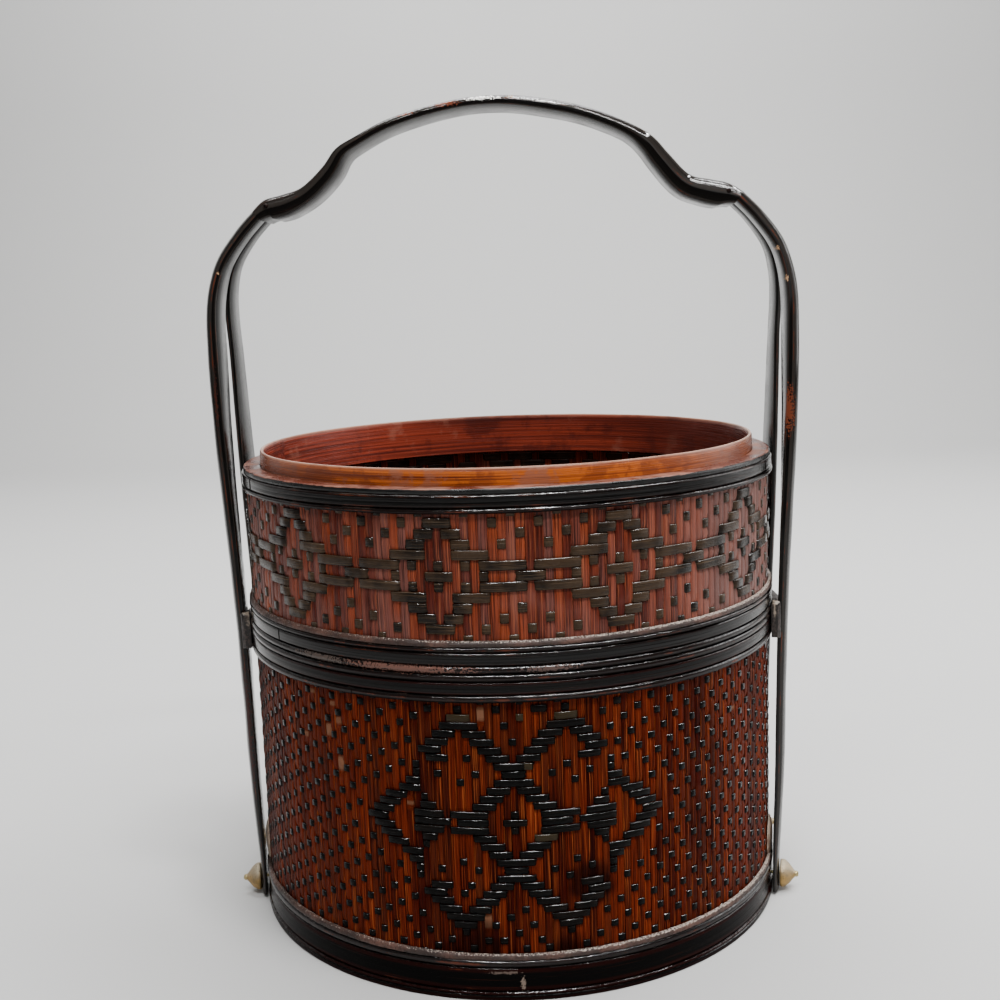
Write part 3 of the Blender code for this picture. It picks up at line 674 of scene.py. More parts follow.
def bent_hoop(name, body, shape, inner, seam, ridge, coat, seed):
    """A strip bent round the wall and lapped at its seam, with fine ridges along its face."""
    low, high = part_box(name)
    shape = np.array(shape)
    chance = np.random.default_rng(seed)
    turned = np.linspace(0.0, 2 * math.pi, HOOP_STEPS + 1)
    angle = (seam + turned)[:, None]
    face = shape[:, 0] > 0.75
    radius = inner + (high.x - inner) * shape[None, :, 0]
    lap = LAP_STEP * np.clip(1 - turned / LAP_TAPER, 0, 1)**2
    ridges = chance.uniform(-ridge, ridge, len(shape)) * (0.7 + 0.3 * np.cos(3 * angle + seed))
    section = np.stack([radius[0], low.z + (high.z - low.z) * shape[:, 1]], 1)
    radius = radius + face * (drift(angle, seed, waves=14, reach=HOOP_WAVE) + ridges - lap[:, None])
    height = section[None, :, 1] + drift(angle, seed + 1, waves=9, reach=HOOP_SWAY) * (shape[:, 0] > 0.5)
    rings = around(radius, angle, np.maximum(height, 0.0))
    strips = Strips(name + "_bent")
    strips.lay(rings, angle * high.x, outline_length(section)[None, :], chance.random(), shape[None, :, 2])
    strips.piece(coat.material, body, "black_lacquer", name, sharp=60.0)


black_hoop = black_coat("black_hoop_lacquer", worn_share=0.51, dust_share=0.50, lines=3200.0,
                        undertone=HOOP_UNDERTONE, shine=0.23, marks=RIB_MARKS)
maroon_hoop = black_coat("maroon_black_hoop_lacquer", worn_share=0.55, dust_share=0.58, lines=3200.0,
                         undertone=MAROON_UNDERTONE, shine=0.14)
base_coat = black_coat("maroon_black_base_lacquer", worn_share=0.55, dust_share=0.58, lines=3200.0,
                       undertone=MAROON_UNDERTONE, shine=0.03, marks=BASE_MARKS)
OWN_COATS = {"lower_rim_hoop": maroon_hoop, "base_bottom_rib": base_coat, "base_hoop": base_coat}
for seed, (name, body, shape, inner, seam, ridge) in enumerate(HOOPS):
    bent_hoop(name, body, shape, inner, seam, ridge, OWN_COATS.get(name, black_hoop), 100 + 7 * seed)


# The raw bamboo strips that close the lower edge of each woven wall. They were never
# lacquered, and the dirt that runs down the weave has settled on them in crumbs.
EDGE_SHAPE = ((0.0, 0.0), (0.78, 0.0), (0.84, 0.30), (0.72, 0.62), (0.50, 0.86), (0.30, 1.0), (0.0, 1.0))
EDGE_STEPS = 640
EDGE_OUTER = 0.115
EDGE_HEIGHT = 0.002
CRUMB, CRUMB_LIMIT = 0.00016, 0.0002
DIRT_DARK, DIRT_BROWN, DIRT_GAP = (0.018, 0.007, 0.004), (0.085, 0.036, 0.024), (0.020, 0.009, 0.006)
CRUMB_PALE = (0.34, 0.275, 0.23)

crumbs = Finish("dusty_bare_bamboo")
grain = crumbs.drawn("grain")
speckle = crumbs.noise(crumbs.place(), 1500.0, 2.0, 0.6)
blotch = crumbs.noise(crumbs.place(), 70.0, 4.0, 0.6)
# The pale crumbs spread further towards the right.
rightward = crumbs.between(crumbs.part(crumbs.place(), 0), -0.10, 0.11, 0.0, 0.17)
tone = crumbs.cover(DIRT_DARK, DIRT_BROWN, blotch, 0.38, 0.66)
rise = crumbs.between(crumbs.part(grain, 1), 0.0010, 0.0017, -0.30, 0.02)
pale = crumbs.maths("ADD", crumbs.maths("ADD", speckle, rightward), rise)
tone = crumbs.cover(tone, CRUMB_PALE, pale, 0.58, 0.72)
tone = crumbs.cover(tone, DIRT_GAP, speckle, 0.44, 0.34)
crumbs.coat(tone, crumbs.between(speckle, 0.3, 0.7, 0.75, 0.35), speckle, depth=0.00030)
for seed, (name, body) in enumerate((("base_edge_strip", "basket"), ("upper_edge_strip", "upper_tier"))):
    low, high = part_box(name)
    chance = np.random.default_rng(300 + seed)
    shape = np.array(EDGE_SHAPE)
    angle = np.linspace(0.0, 2 * math.pi, EDGE_STEPS, endpoint=False)[:, None]
    free = (shape[:, 0] > 0.2)[None, :]
    rough = chance.normal(0, CRUMB, (EDGE_STEPS, len(shape))) * free
    rough = np.clip(rough, -CRUMB_LIMIT, CRUMB_LIMIT)
    radius = HOOP_INNER + (EDGE_OUTER - HOOP_INNER) * shape[None, :, 0] + rough
    height = low.z + (high.z - low.z) * shape[None, :, 1] + np.minimum(rough, 0.0) * 0.8
    rings = around(radius, angle, height)
    strips = Strips(name + "_crumbed")
    strips.lay(rings, angle * EDGE_OUTER, shape[None, :, 1] * EDGE_HEIGHT, 0.5, endless=True)
    strips.piece(crumbs.material, body, "bare_bamboo", name, sharp=80.0)


# The flat rings that cover each rim's top edge, between wall and collar. Their outer edge is
# lacquered black like the hoop below, and the top is rubbed down to dusty red brown.
RIM_STEPS = 260
RIM_JOINT = math.radians(-100.0)
RIM_ANGLE = RIM_JOINT + np.linspace(0.0, 2 * math.pi, RIM_STEPS, endpoint=False)[:, None]
PACKING_INNER = 0.1069
LEDGE_WAVE, LEDGE_SWAY = 0.00005, 0.00003
LEDGE_BROWN, LEDGE_DUSTY, LEDGE_LINES = (0.080, 0.018, 0.009), (0.210, 0.085, 0.055), (0.025, 0.006, 0.004)

ledge_coat = Finish("rubbed_ledge_lacquer")
fibres = ledge_coat.fibres(18.0, 2600.0, 59.0, 3.0, 0.55)
patches = ledge_coat.noise(ledge_coat.place(), 85.0, 5.0, 0.65)
tone = ledge_coat.cover(LEDGE_BROWN, LEDGE_DUSTY, patches, 0.42, 0.62)
tone = ledge_coat.cover(tone, LEDGE_LINES, fibres, 0.48, 0.36)
ragged = ledge_coat.between(patches, 0.3, 0.7, -0.25, 0.25)
top = ledge_coat.maths("ADD", ledge_coat.drawn("worn", "Fac"), ragged)
tone = ledge_coat.cover(LACQUER_BLACK, tone, top, 0.38, 0.55)
ledge_coat.coat(tone, ledge_coat.between(patches, 0.3, 0.7, 0.20, 0.50), fibres, depth=0.00012, shine=0.40)
LEDGE_SHAPE = (
    (0.00, 0.00, 0.0), (0.985, 0.00, 0.0), (1.00, 0.18, 0.0), (1.00, 0.66, 0.1), (0.975, 0.90, 0.45),
    (0.93, 0.99, 0.75), (0.80, 1.00, 0.9), (0.50, 0.99, 1.0), (0.20, 1.00, 1.0), (0.00, 1.00, 1.0),
)


def rim_ring(name, radius, height, reach, tone, worn):
    """A closed ring round the rim, from the radius and height of each point of its section."""
    strips = Strips(name)
    outline = outline_length(np.stack([radius[0], height[0]], 1))
    rings = around(radius, RIM_ANGLE, height)
    strips.lay(rings, RIM_ANGLE * reach, outline[None, :], tone, worn, endless=True)
    return strips


for seed, (name, body) in enumerate((("lower_ledge_ring", "basket"), ("upper_ledge_ring", "upper_tier"))):
    low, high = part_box(name)
    shape = np.array(LEDGE_SHAPE)
    radius = PACKING_INNER + (high.x - PACKING_INNER) * shape[None, :, 0]
    radius = radius + (shape[:, 0] > 0.9) * drift(RIM_ANGLE, 330 + seed, waves=14, reach=LEDGE_WAVE)
    sway = drift(RIM_ANGLE, 340 + seed, waves=9, reach=LEDGE_SWAY)
    height = low.z + (high.z - low.z) * shape[None, :, 1] + sway
    strips = rim_ring(name + "_rubbed", radius, height, high.x, 0.5, shape[None, :, 2])
    strips.piece(ledge_coat.material, body, "rubbed_lacquer", name, sharp=60.0)


# The collars: thin bamboo boards bent into a ring, stained amber outside and dark red inside
# under clear lacquer. Their top edge is worn pale where the next tier slides over it.
COLLAR_SHAPE = (
    (0.00, 0.00), (0.00, 0.55), (0.00, 0.90), (0.08, 0.97), (0.28, 1.00), (0.72, 1.00), (0.93, 0.965),
    (1.00, 0.90), (1.00, 0.72), (1.00, 0.50), (1.00, 0.25), (1.00, 0.00),
)
COLLAR_INNER, COLLAR_OUTER = 0.1048, 0.1066
COLLARS = (("lower_collar", "basket", 0.00004), ("upper_collar", "upper_tier", 0.00022))
COLLAR_LIP_WEAR = 0.00012
LEAN_FROM, LIP_FROM, LIP_HEIGHT = 0.5, 0.96, 0.04
AMBER_DEEP, AMBER_BRIGHT = (0.100, 0.015, 0.005), (0.480, 0.108, 0.010)
AMBER_STAIN, AMBER_DUST = (0.120, 0.022, 0.009), (0.240, 0.088, 0.052)
AMBER_SHADE_RIGHT, AMBER_SHADE_LEFT = (0.160, 0.048, 0.026), (0.170, 0.052, 0.028)
WINE_DEEP, WINE_BRIGHT = (0.070, 0.011, 0.008), (0.290, 0.042, 0.020)
WINE_STAIN, WINE_DUST, WINE_SHADE_RIGHT = (0.060, 0.010, 0.008), (0.300, 0.105, 0.070), (0.060, 0.014, 0.011)
COLLAR_HAIRS, COLLAR_LIP = (0.030, 0.007, 0.003), (0.400, 0.215, 0.145)

collar_coat = Finish("clear_lacquer_over_amber")
fibres = collar_coat.fibres(9.0, 900.0, 59.0, 4.0, 0.6)
hairs = collar_coat.fibres(30.0, 4200.0, 91.0, 2.0, 0.5)
patches = collar_coat.noise(collar_coat.place(), 48.0, 5.0, 0.65)
flat = collar_coat.stretched(collar_coat.place(), (1.0, 1.0, 0.0))
outward = collar_coat.node("ShaderNodeVectorMath", flat, operation="LENGTH").outputs["Value"]
across = collar_coat.part(collar_coat.place(), 0)
amber = collar_coat.cover(AMBER_DEEP, AMBER_BRIGHT, fibres, 0.34, 0.60)
amber = collar_coat.cover(amber, AMBER_STAIN, patches, 0.50, 0.44, 0.0, 0.55)
amber = collar_coat.cover(amber, AMBER_DUST, patches, 0.56, 0.64, 0.0, 0.75)
# Painted shade: the amber darkens towards the right and the left of the collar.
amber = collar_coat.cover(amber, AMBER_SHADE_RIGHT, across, 0.030, 0.100, 0.0, 0.75)
amber = collar_coat.cover(amber, AMBER_SHADE_LEFT, across, -0.020, -0.085, 0.0, 0.6)
wine = collar_coat.cover(WINE_DEEP, WINE_BRIGHT, fibres, 0.26, 0.74)
wine = collar_coat.cover(wine, WINE_STAIN, patches, 0.50, 0.40, 0.0, 0.6)
wine = collar_coat.cover(wine, WINE_DUST, patches, 0.58, 0.70, 0.0, 0.5)
# Painted shade: the dark red inside darkens towards the right.
wine = collar_coat.cover(wine, WINE_SHADE_RIGHT, across, 0.030, 0.100, 0.0, 0.75)
tone = collar_coat.cover(wine, amber, outward, 0.1052, 0.1062)
tone = collar_coat.cover(tone, COLLAR_HAIRS, hairs, 0.40, 0.30, 0.0, 0.4)
patchy = collar_coat.between(patches, 0.30, 0.55, 0.35, 1.0)
lip = collar_coat.maths("MULTIPLY", collar_coat.drawn("worn", "Fac"), patchy)
tone = collar_coat.mix(lip, tone, COLLAR_LIP)
height = collar_coat.maths("ADD", fibres, hairs)
collar_coat.coat(tone, collar_coat.between(hairs, 0.3, 0.7, 0.18, 0.34), height, depth=0.00012, shine=0.28)
for seed, (name, body, sway) in enumerate(COLLARS):
    low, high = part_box(name)
    shape = np.array(COLLAR_SHAPE)
    up = shape[None, :, 1]
    lean = np.clip((up - LEAN_FROM) / (1 - LEAN_FROM), 0, 1)
    radius = COLLAR_INNER + (COLLAR_OUTER - COLLAR_INNER) * shape[None, :, 0]
    radius = radius + lean * drift(RIM_ANGLE, 350 + seed, waves=5, reach=sway)
    dips = np.minimum(drift(RIM_ANGLE, 360 + seed, waves=16, reach=COLLAR_LIP_WEAR), 0.0)
    height = low.z + (high.z - low.z) * up + lean * dips
    worn = np.clip((up - LIP_FROM) / LIP_HEIGHT, 0, 1)
    strips = rim_ring(name + "_bent", radius, height, COLLAR_OUTER, 0.3, worn)
    strips.piece(collar_coat.material, body, "amber_lacquer", name, sharp=50.0)


# The hoops inside the rims and the tray's foot, which pack the room between wall and collar,
# and the two floor boards. They are plain bamboo and thin boards, stained dark red brown.
PACKING_OUTER = 0.1103
BOARD_SEAMS = (-0.041, 0.0325)
BOARD_ROWS = 32
SEAM_HALF = 0.00035
SEAM_DEPTH = 0.0005
BOARD_DARK, BOARD_RED, BOARD_HAIRS = (0.018, 0.005, 0.003), (0.085, 0.020, 0.009), (0.010, 0.003, 0.002)
BOARD_DUST = (0.120, 0.045, 0.026)

board_stain = Finish("dark_stained_board")
fibres = board_stain.fibres(12.0, 420.0, 59.0, 5.0, 0.62)
hairs = board_stain.fibres(26.0, 2600.0, 91.0, 2.0, 0.5)
patches = board_stain.noise(board_stain.place(), 22.0, 4.0, 0.6)
tone = board_stain.cover(BOARD_DARK, BOARD_RED, fibres, 0.34, 0.64)
tone = board_stain.cover(tone, BOARD_HAIRS, hairs, 0.40, 0.28)
tone = board_stain.cover(tone, BOARD_DUST, patches, 0.50, 0.70, 0.0, 0.5)
height = board_stain.maths("ADD", fibres, hairs)
board_stain.coat(tone, board_stain.between(patches, 0.3, 0.7, 0.30, 0.55), height, depth=0.00020, shine=0.38)
PACKING_SHAPE = ((0.00, 0.00), (0.00, 0.94), (0.12, 1.00), (0.90, 1.00), (1.00, 0.94), (1.00, 0.00))
PACKING_HOOPS = (
    ("lower_packing_hoop", "basket"), ("upper_packing_hoop", "upper_tier"),
    ("upper_foot_packing_hoop", "upper_tier"),
)
for seed, (name, body) in enumerate(PACKING_HOOPS):
    low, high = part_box(name)
    shape = np.array(PACKING_SHAPE)
    radius = PACKING_INNER + (PACKING_OUTER - PACKING_INNER) * shape[None, :, 0]
    height = low.z + (high.z - low.z) * shape[None, :, 1]
    strips = rim_ring(name + "_bent", radius, height, PACKING_OUTER, 0.2 + 0.1 * seed, 0.0)
    strips.piece(board_stain.material, body, "dark_board", name, sharp=50.0)


def floor_boards(name, body, seed):
    """A round floor of three boards laid side by side, with a shallow seam between them."""
    low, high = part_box(name)
    edges = [-high.x, *BOARD_SEAMS, high.x]
    strips = Strips(name + "_boards")
    for board, (left, right) in enumerate(zip(edges, edges[1:])):
        left = left + (SEAM_HALF if board else 0.0)
        right = right - (SEAM_HALF if board < 2 else 0.0)
        turned = np.linspace(0.02, math.pi - 0.02, BOARD_ROWS)
        across = left + (right - left) * (0.5 - 0.5 * np.cos(turned))
        reach = np.sqrt(np.maximum(high.x**2 - across**2, 1e-8))
        inset = np.minimum(np.minimum(across - left, right - across), SEAM_DEPTH)
        under = np.full_like(across, low.z)
        top = high.z - 0.6 * (SEAM_DEPTH - inset)
        corners = ((-reach, under), (-reach, top), (reach, top), (reach, under))
        rings = np.stack([np.stack([across, y, z], 1) for y, z in corners], 1)
        strips.lay(rings, rings[:, :, 1], rings[:, :, 0], 0.21 * (board + 1) + seed)
    strips.piece(board_stain.material, body, "dark_board", name, sharp=30.0)


floor_boards("lower_floor", "basket", 0.05)
floor_boards("upper_floor", "upper_tier", 0.55)


# The split bow handle. Its top is one thick strip of bamboo, heated and bent down at both
# ends, with a flat grip side below and bevelled edges above. A pin runs through each end.
HANDLE_HEIGHT = 0.344
HANDLE_WIDTH = 0.026
HANDLE_THICKNESS = 0.005
LEG_WIDTH = 0.017
BAND_RADIUS = 0.115
FIT_GAP = 0.0003
SHOULDER_GAP = 0.00006
SHOULDER_SLOPE = math.radians(42.0)
BOW_LINE = (
    (-1.000, 0.8750, 1.18), (-0.951, 0.8875, 1.72), (-0.875, 0.8930, 1.76), (-0.791, 0.9017, 1.44),
    (-0.705, 0.9238, 1.32), (-0.648, 0.9445, 1.08), (-0.578, 0.9567, 0.86), (-0.412, 0.9791, 0.82),
    (-0.168, 0.9962, 0.78), (0.033, 1.0000, 0.83), (0.231, 0.9927, 0.94), (0.389, 0.9805, 0.94),
    (0.547, 0.9613, 1.04), (0.638, 0.9448, 1.40), (0.703, 0.9235, 1.60), (0.783, 0.8983, 1.72),
    (0.862, 0.8916, 1.98), (0.941, 0.8855, 1.86), (1.000, 0.8750, 1.18),
)
BOW_SECTION = (
    (-0.470, 0.00, 0.4), (0.470, 0.00, 0.4), (0.495, 0.05, 0.9), (0.500, 0.14, 0.3), (0.500, 0.46, 0.2),
    (0.494, 0.58, 0.9), (0.458, 0.81, 0.4), (0.446, 0.87, 0.8), (0.400, 0.955, 0.6), (0.340, 1.00, 0.5),
    (0.160, 1.01, 0.2), (-0.160, 1.01, 0.2), (-0.340, 1.00, 0.5), (-0.400, 0.955, 0.6),
    (-0.446, 0.87, 0.8), (-0.458, 0.81, 0.4), (-0.494, 0.58, 0.9), (-0.500, 0.46, 0.2),
    (-0.500, 0.14, 0.3), (-0.495, 0.05, 0.9),
)
HANDLE_PARTS = 7
SHAVING, SHAVING_SHORT, SHAVING_LONG = 0.00003, 0.012, 0.060
SHAVING_WAVES = 8
SHAVING_FADE = 0.01


def between_rows(rows, parts):
    """Rows between the given ones, on a smooth curve that passes through each of them."""
    result = []
    last = len(rows) - 1
    for k in range(last):
        before, start, end, after = (np.array(rows[min(max(k + i, 0), last)]) for i in (-1, 0, 1, 2))
        for part in range(parts):
            t = part / parts
            result.append(((-t + 2 * t**2 - t**3) * before + (2 - 5 * t**2 + 3 * t**3) * start
                           + (t + 4 * t**2 - 3 * t**3) * end + (-t**2 + t**3) * after) / 2)
    result.append(np.array(rows[-1]))
    return np.array(result)


def lay_handle_strip(strips, frames, section, tone, seed):
    """A strip of the handle through its stations, a little uneven where it was split and shaved."""
    chance = np.random.default_rng(seed)
    section = np.array(section)
    rings = []
    for place, sideways, inward, width, thick in frames:
        offsets = [sideways * width * a + inward * thick * (1 - b) for a, b, _ in section]
        rings.append([place + offset for offset in offsets])
    rings = np.array([[tuple(point) for point in ring] for ring in rings])
    run = outline_length(rings[:, 0])
    shaved = np.zeros(len(run))
    for _ in range(SHAVING_WAVES):
        length = chance.uniform(SHAVING_SHORT, SHAVING_LONG)
        shaved += chance.normal() * np.sin(2 * math.pi * (run / length + chance.random())) * SHAVING
    away = rings - rings.mean(1, keepdims=True)
    away = away / np.maximum(np.linalg.norm(away, axis=2, keepdims=True), 1e-6)
    fade = np.minimum(1.0, np.minimum(run, run[-1] - run) / SHAVING_FADE)
    rings = rings + away * (shaved * fade)[:, None, None]
    outline = outline_length(rings[len(rings) // 2])
    strips.lay(rings, run[:, None], outline[None, :], tone, section[None, :, 2])


def leg_stations(front, foot_gap, parts):
    """Stations down one leg: outer radius, height, middle across, width, thickness, twist."""
    top_width = HANDLE_WIDTH / 2 - FIT_GAP / 2
    rows = []
    for up, stand, split, widen, fore, rear, twist in between_rows(LEG_LINE, parts):
        thick = HANDLE_THICKNESS * (fore if front else rear)
        width = top_width + (LEG_WIDTH - top_width) * widen
        middle = FIT_GAP / 2 + foot_gap / 2 * split + width / 2
        rows.append((BAND_RADIUS + FIT_GAP + thick + stand * BAND_RADIUS, up * HANDLE_HEIGHT,
                     middle, width, thick, twist))
    return rows


# The line of the legs from the shoulders down, which the bow's ends meet: height, stand-off from
# the bands, split, width, thickness of the front and rear leg, and twist, as shares of the sizes.
LEG_LINE = (
    (0.8750, -0.1435, 0.000, 0.00, 0.98, 0.98, 0.00), (0.8517, -0.0765, 0.018, 0.08, 1.00, 0.94, 0.00),
    (0.8192, -0.0070, 0.075, 0.37, 1.02, 0.88, 0.00), (0.7866, 0.0270, 0.168, 0.66, 1.04, 0.80, 0.00),
    (0.7500, 0.0409, 0.285, 0.90, 1.10, 0.74, 0.00), (0.6977, 0.0409, 0.420, 1.00, 1.16, 0.72, 0.08),
    (0.6192, 0.0391, 0.530, 1.00, 1.12, 0.72, 0.40), (0.5465, 0.0343, 0.580, 1.00, 1.05, 0.72, 0.70),
    (0.4506, 0.0243, 0.640, 1.00, 0.96, 0.72, 1.00), (0.3634, 0.0165, 0.700, 1.00, 0.88, 0.70, 1.00),
    (0.2616, 0.0113, 0.790, 0.96, 0.82, 0.66, 1.00), (0.1599, 0.0078, 0.880, 0.86, 0.76, 0.62, 1.00),
    (0.0872, 0.0030, 0.950, 0.80, 0.62, 0.56, 1.00), (0.0407, 0.0017, 1.000, 0.76, 0.50, 0.50, 1.00),
    (0.0044, 0.0017, 1.000, 0.72, 0.50, 0.50, 1.00),
)
LEFT_FOOT_GAP, RIGHT_FOOT_GAP = 0.027, 0.037
shoulder = leg_stations(True, LEFT_FOOT_GAP, 1)[0]
shoulder_reach = math.sqrt(shoulder[0]**2 - shoulder[2]**2)

HANDLE_UNDERTONE = (0.0180, 0.0150, 0.0130)
PAINTED_GLINT_WHITE, CHIP_RED, CHIP_TAN = (0.86, 0.84, 0.80), (0.120, 0.030, 0.014), (0.300, 0.180, 0.100)
# The white marks near the crown of the bow are painted highlights.
BOW_MARKS_AND_GLINTS = (
    ((-0.0054, -0.0128, 0.3430), (0.0066, 0.0014, 0.0012), PAINTED_GLINT_WHITE),
    ((0.0029, -0.0128, 0.3428), (0.0010, 0.0012, 0.0008), PAINTED_GLINT_WHITE),
    ((0.0076, -0.0128, 0.3428), (0.0020, 0.0012, 0.0005), CHIP_TAN),
    ((-0.0345, -0.0128, 0.3389), (0.0008, 0.0012, 0.0008), PAINTED_GLINT_WHITE),
    ((-0.0215, -0.0128, 0.3412), (0.0066, 0.0016, 0.0012), CHIP_RED),
    ((-0.0406, -0.0128, 0.3379), (0.0062, 0.0016, 0.0011), CHIP_RED),
    ((0.0632, -0.0128, 0.3272), (0.0010, 0.0014, 0.0010), CHIP_TAN),
    ((0.0240, -0.0128, 0.3420), (0.0008, 0.0012, 0.0005), CHIP_TAN),
)
black_handle = black_coat("black_handle_lacquer", worn_share=0.46, dust_share=0.62, lines=1500.0,
                          undertone=HANDLE_UNDERTONE, shine=0.20, marks=BOW_MARKS_AND_GLINTS)
rows = between_rows([(x * shoulder_reach, z * HANDLE_HEIGHT, t * HANDLE_THICKNESS) for x, z, t in BOW_LINE],
                    HANDLE_PARTS)
bow_frames = []
for k, (x, z, thick) in enumerate(rows):
    low, high = rows[max(k - 1, 0)], rows[min(k + 1, len(rows) - 1)]
    slope = math.atan2(high[1] - low[1], high[0] - low[0])
    slope = SHOULDER_SLOPE if k == 0 else -SHOULDER_SLOPE if k == len(rows) - 1 else slope
    inward = Vector((math.sin(slope), 0.0, -math.cos(slope)))
    bow_frames.append((Vector((x, 0.0, z)), Vector((0.0, 1.0, 0.0)), inward, HANDLE_WIDTH, thick))
strips = Strips("handle_bow_bent")
lay_handle_strip(strips, bow_frames, BOW_SECTION, 0.4, 71)
strips.piece(black_handle.material, "basket", "black_lacquer", "handle_bow", sharp=42.0)

# The pins through the ends of the bow: round bamboo, lacquered with the handle, whose ends
# stand out a little from its sides and have rubbed brown.
PIN_SIDES = 20
PIN_REACH = 0.951
PIN_DEPTH = 0.36
PIN_RADIUS = 0.00095
PIN_END = ((-0.0004, 0.6), (-0.0002, 0.9), (0.0003, 1.15))
PIN_BLACK, PIN_BROWN = (0.0015, 0.0012, 0.0012), (0.016, 0.006, 0.004)

worn_pin = Finish("worn_bamboo_pin")
speckle = worn_pin.noise(worn_pin.place(), 900.0, 3.0)
tone = worn_pin.cover(PIN_BLACK, PIN_BROWN, speckle, 0.4, 0.6)
worn_pin.coat(tone, worn_pin.between(speckle, 0.3, 0.7, 0.35, 0.6), speckle, depth=0.0001, shine=0.08)


def turned_rings(places, radii, centre, axis, sides):
    """Circles of the given radii at distances along an axis, for the round pieces."""
    axis = Vector(axis).normalized()
    side = axis.orthogonal().normalized()
    other = axis.cross(side)
    rings = []
    for place, radius in zip(places, radii):
        ring = []
        for k in range(sides):
            angle = 2 * math.pi * k / sides
            outward = side * math.cos(angle) + other * math.sin(angle)
            ring.append(tuple(Vector(centre) + axis * place + outward * radius))
        rings.append(ring)
    return np.array(rings)


near = [(out - HANDLE_WIDTH / 2, share) for out, share in PIN_END]
ends, shares = np.array(near + [(-end, share) for end, share in near[::-1]]).T
for side_name, side in (("left", -1), ("right", 1)):
    reach = side * PIN_REACH * shoulder_reach
    place, _, inward, _, thick = min(bow_frames, key=lambda f: abs(f[0].x - reach))
    middle = place + inward * thick * PIN_DEPTH
    rings = turned_rings(ends, shares * PIN_RADIUS, middle, (0.0, 1.0, 0.0), PIN_SIDES)
    strips = Strips(side_name + "_shoulder_pin_end")
    strips.lay(rings, ends[:, None], 0.0, 0.5, 0.5)
    strips.piece(worn_pin.material, "basket", "rubbed_lacquer", side_name + "_shoulder_pin", sharp=40.0)


# The four legs: each side of the handle is one strip split in two, spread by the box and
# twisted until it lies flat against the bands. The skin of the bamboo faces out, bevelled.
LEG_SECTION = (
    (-0.470, 0.00, 0.3), (0.470, 0.00, 0.3), (0.494, 0.04, 0.9), (0.500, 0.12, 0.3), (0.500, 0.32, 0.2),
    (0.492, 0.42, 1.0), (0.432, 0.67, 0.3), (0.408, 0.74, 0.8), (0.215, 0.975, 0.4), (0.165, 1.00, 0.6),
    (0.00, 1.01, 0.4), (-0.165, 1.00, 0.6), (-0.215, 0.975, 0.4), (-0.408, 0.74, 0.8),
    (-0.432, 0.67, 0.3), (-0.492, 0.42, 1.0), (-0.500, 0.32, 0.2), (-0.500, 0.12, 0.3),
    (-0.494, 0.04, 0.9),
)
LEGS = (
    ("left_front", -1, -1, LEFT_FOOT_GAP), ("left_rear", -1, 1, LEFT_FOOT_GAP),
    ("right_front", 1, -1, RIGHT_FOOT_GAP), ("right_rear", 1, 1, RIGHT_FOOT_GAP),
)


def leg_frames(front, along, across, foot_gap, parts):
    """Each station's outer middle, its direction across and inwards, its width and thickness."""
    rows = leg_stations(front, foot_gap, parts)
    frames = []
    for k, (radius, height, middle, width, thick, twist) in enumerate(rows):
        angle = math.asin(middle / radius)
        turn = Matrix.Rotation(angle * twist * along * across, 3, "Z")
        place = Vector((along * radius * math.cos(angle), across * middle, height))
        lower, upper = rows[min(k + 1, len(rows) - 1)], rows[max(k - 1, 0)]
        slope = math.atan2(lower[0] - upper[0], upper[1] - lower[1])
        if k == 0:
            slope = math.radians(90.0) - SHOULDER_SLOPE
            apart = Vector((along * math.cos(SHOULDER_SLOPE), 0.0, -math.sin(SHOULDER_SLOPE)))
            place += SHOULDER_GAP * apart
        inward = turn @ Vector((-along * math.cos(slope), 0.0, -math.sin(slope)))
        frames.append((place, turn @ Vector((0.0, across, 0.0)), inward, width, thick))
    return frames


LEG_MARKS = (
    ((0.1163, -0.0180, 0.2771), (0.0008, 0.0120, 0.0008), CHIP_TAN),
    ((0.1195, -0.0200, 0.2645), (0.0006, 0.0120, 0.0011), CHIP_TAN),
    ((0.1183, -0.0260, 0.2110), (0.0030, 0.0080, 0.0085), CHIP_RED),
    ((-0.1210, -0.0200, 0.2210), (0.0009, 0.0040, 0.0150), (0.050, 0.014, 0.010)),
    ((-0.1182, -0.0160, 0.2753), (0.0006, 0.0120, 0.0005), CHIP_TAN),
    ((-0.1165, -0.0260, 0.0750), (0.0022, 0.0080, 0.0280), (0.030, 0.006, 0.004)),
)
black_leg = black_coat("black_leg_lacquer", worn_share=0.45, dust_share=0.66, lines=1500.0,
                       undertone=HANDLE_UNDERTONE, shine=0.20, marks=LEG_MARKS)
for seed, (name, along, across, gap) in enumerate(LEGS):
    strips = Strips(name + "_leg_bent")
    frames = leg_frames(across < 0, along, across, gap, HANDLE_PARTS)
    lay_handle_strip(strips, frames, LEG_SECTION, 0.1 + 0.2 * seed, 81 + seed)
    strips.piece(black_leg.material, "basket", "black_lacquer", name + "_leg", sharp=42.0)


# Brass caps at the feet and the nails that hold legs and bands together through them. The
# caps are little onion domes, cast and dulled to olive, and each nail's head is a small stub.
FOOT_HEIGHT = 0.0072
BOSS_RADIUS, BOSS_LENGTH = 0.0057, 0.0062
BOSS_LINE = (
    (0.00, 0.97), (0.05, 1.02), (0.14, 1.05), (0.25, 1.03), (0.36, 0.98), (0.48, 0.89), (0.60, 0.77),
    (0.71, 0.63), (0.81, 0.49), (0.89, 0.38), (0.95, 0.31), (1.00, 0.27),
)
BOSS_SIDES = 48
NAIL_RADIUS = 0.0007
NAIL_LINE = (
    (-0.0075, 1.0), (0.0, 1.0), (0.0064, 1.0), (0.0065, 1.75), (0.0069, 1.95), (0.0075, 1.85),
    (0.0081, 1.1),
)
CAP_DENT = 0.00004
CAP_YELLOW, CAP_OLIVE = (0.400, 0.250, 0.085), (0.215, 0.145, 0.060)
CAP_CREAM, CAP_PITS = (0.450, 0.390, 0.290), (0.040, 0.030, 0.018)
NAIL_BRIGHT, NAIL_DULL = (0.62, 0.50, 0.26), (0.33, 0.26, 0.13)

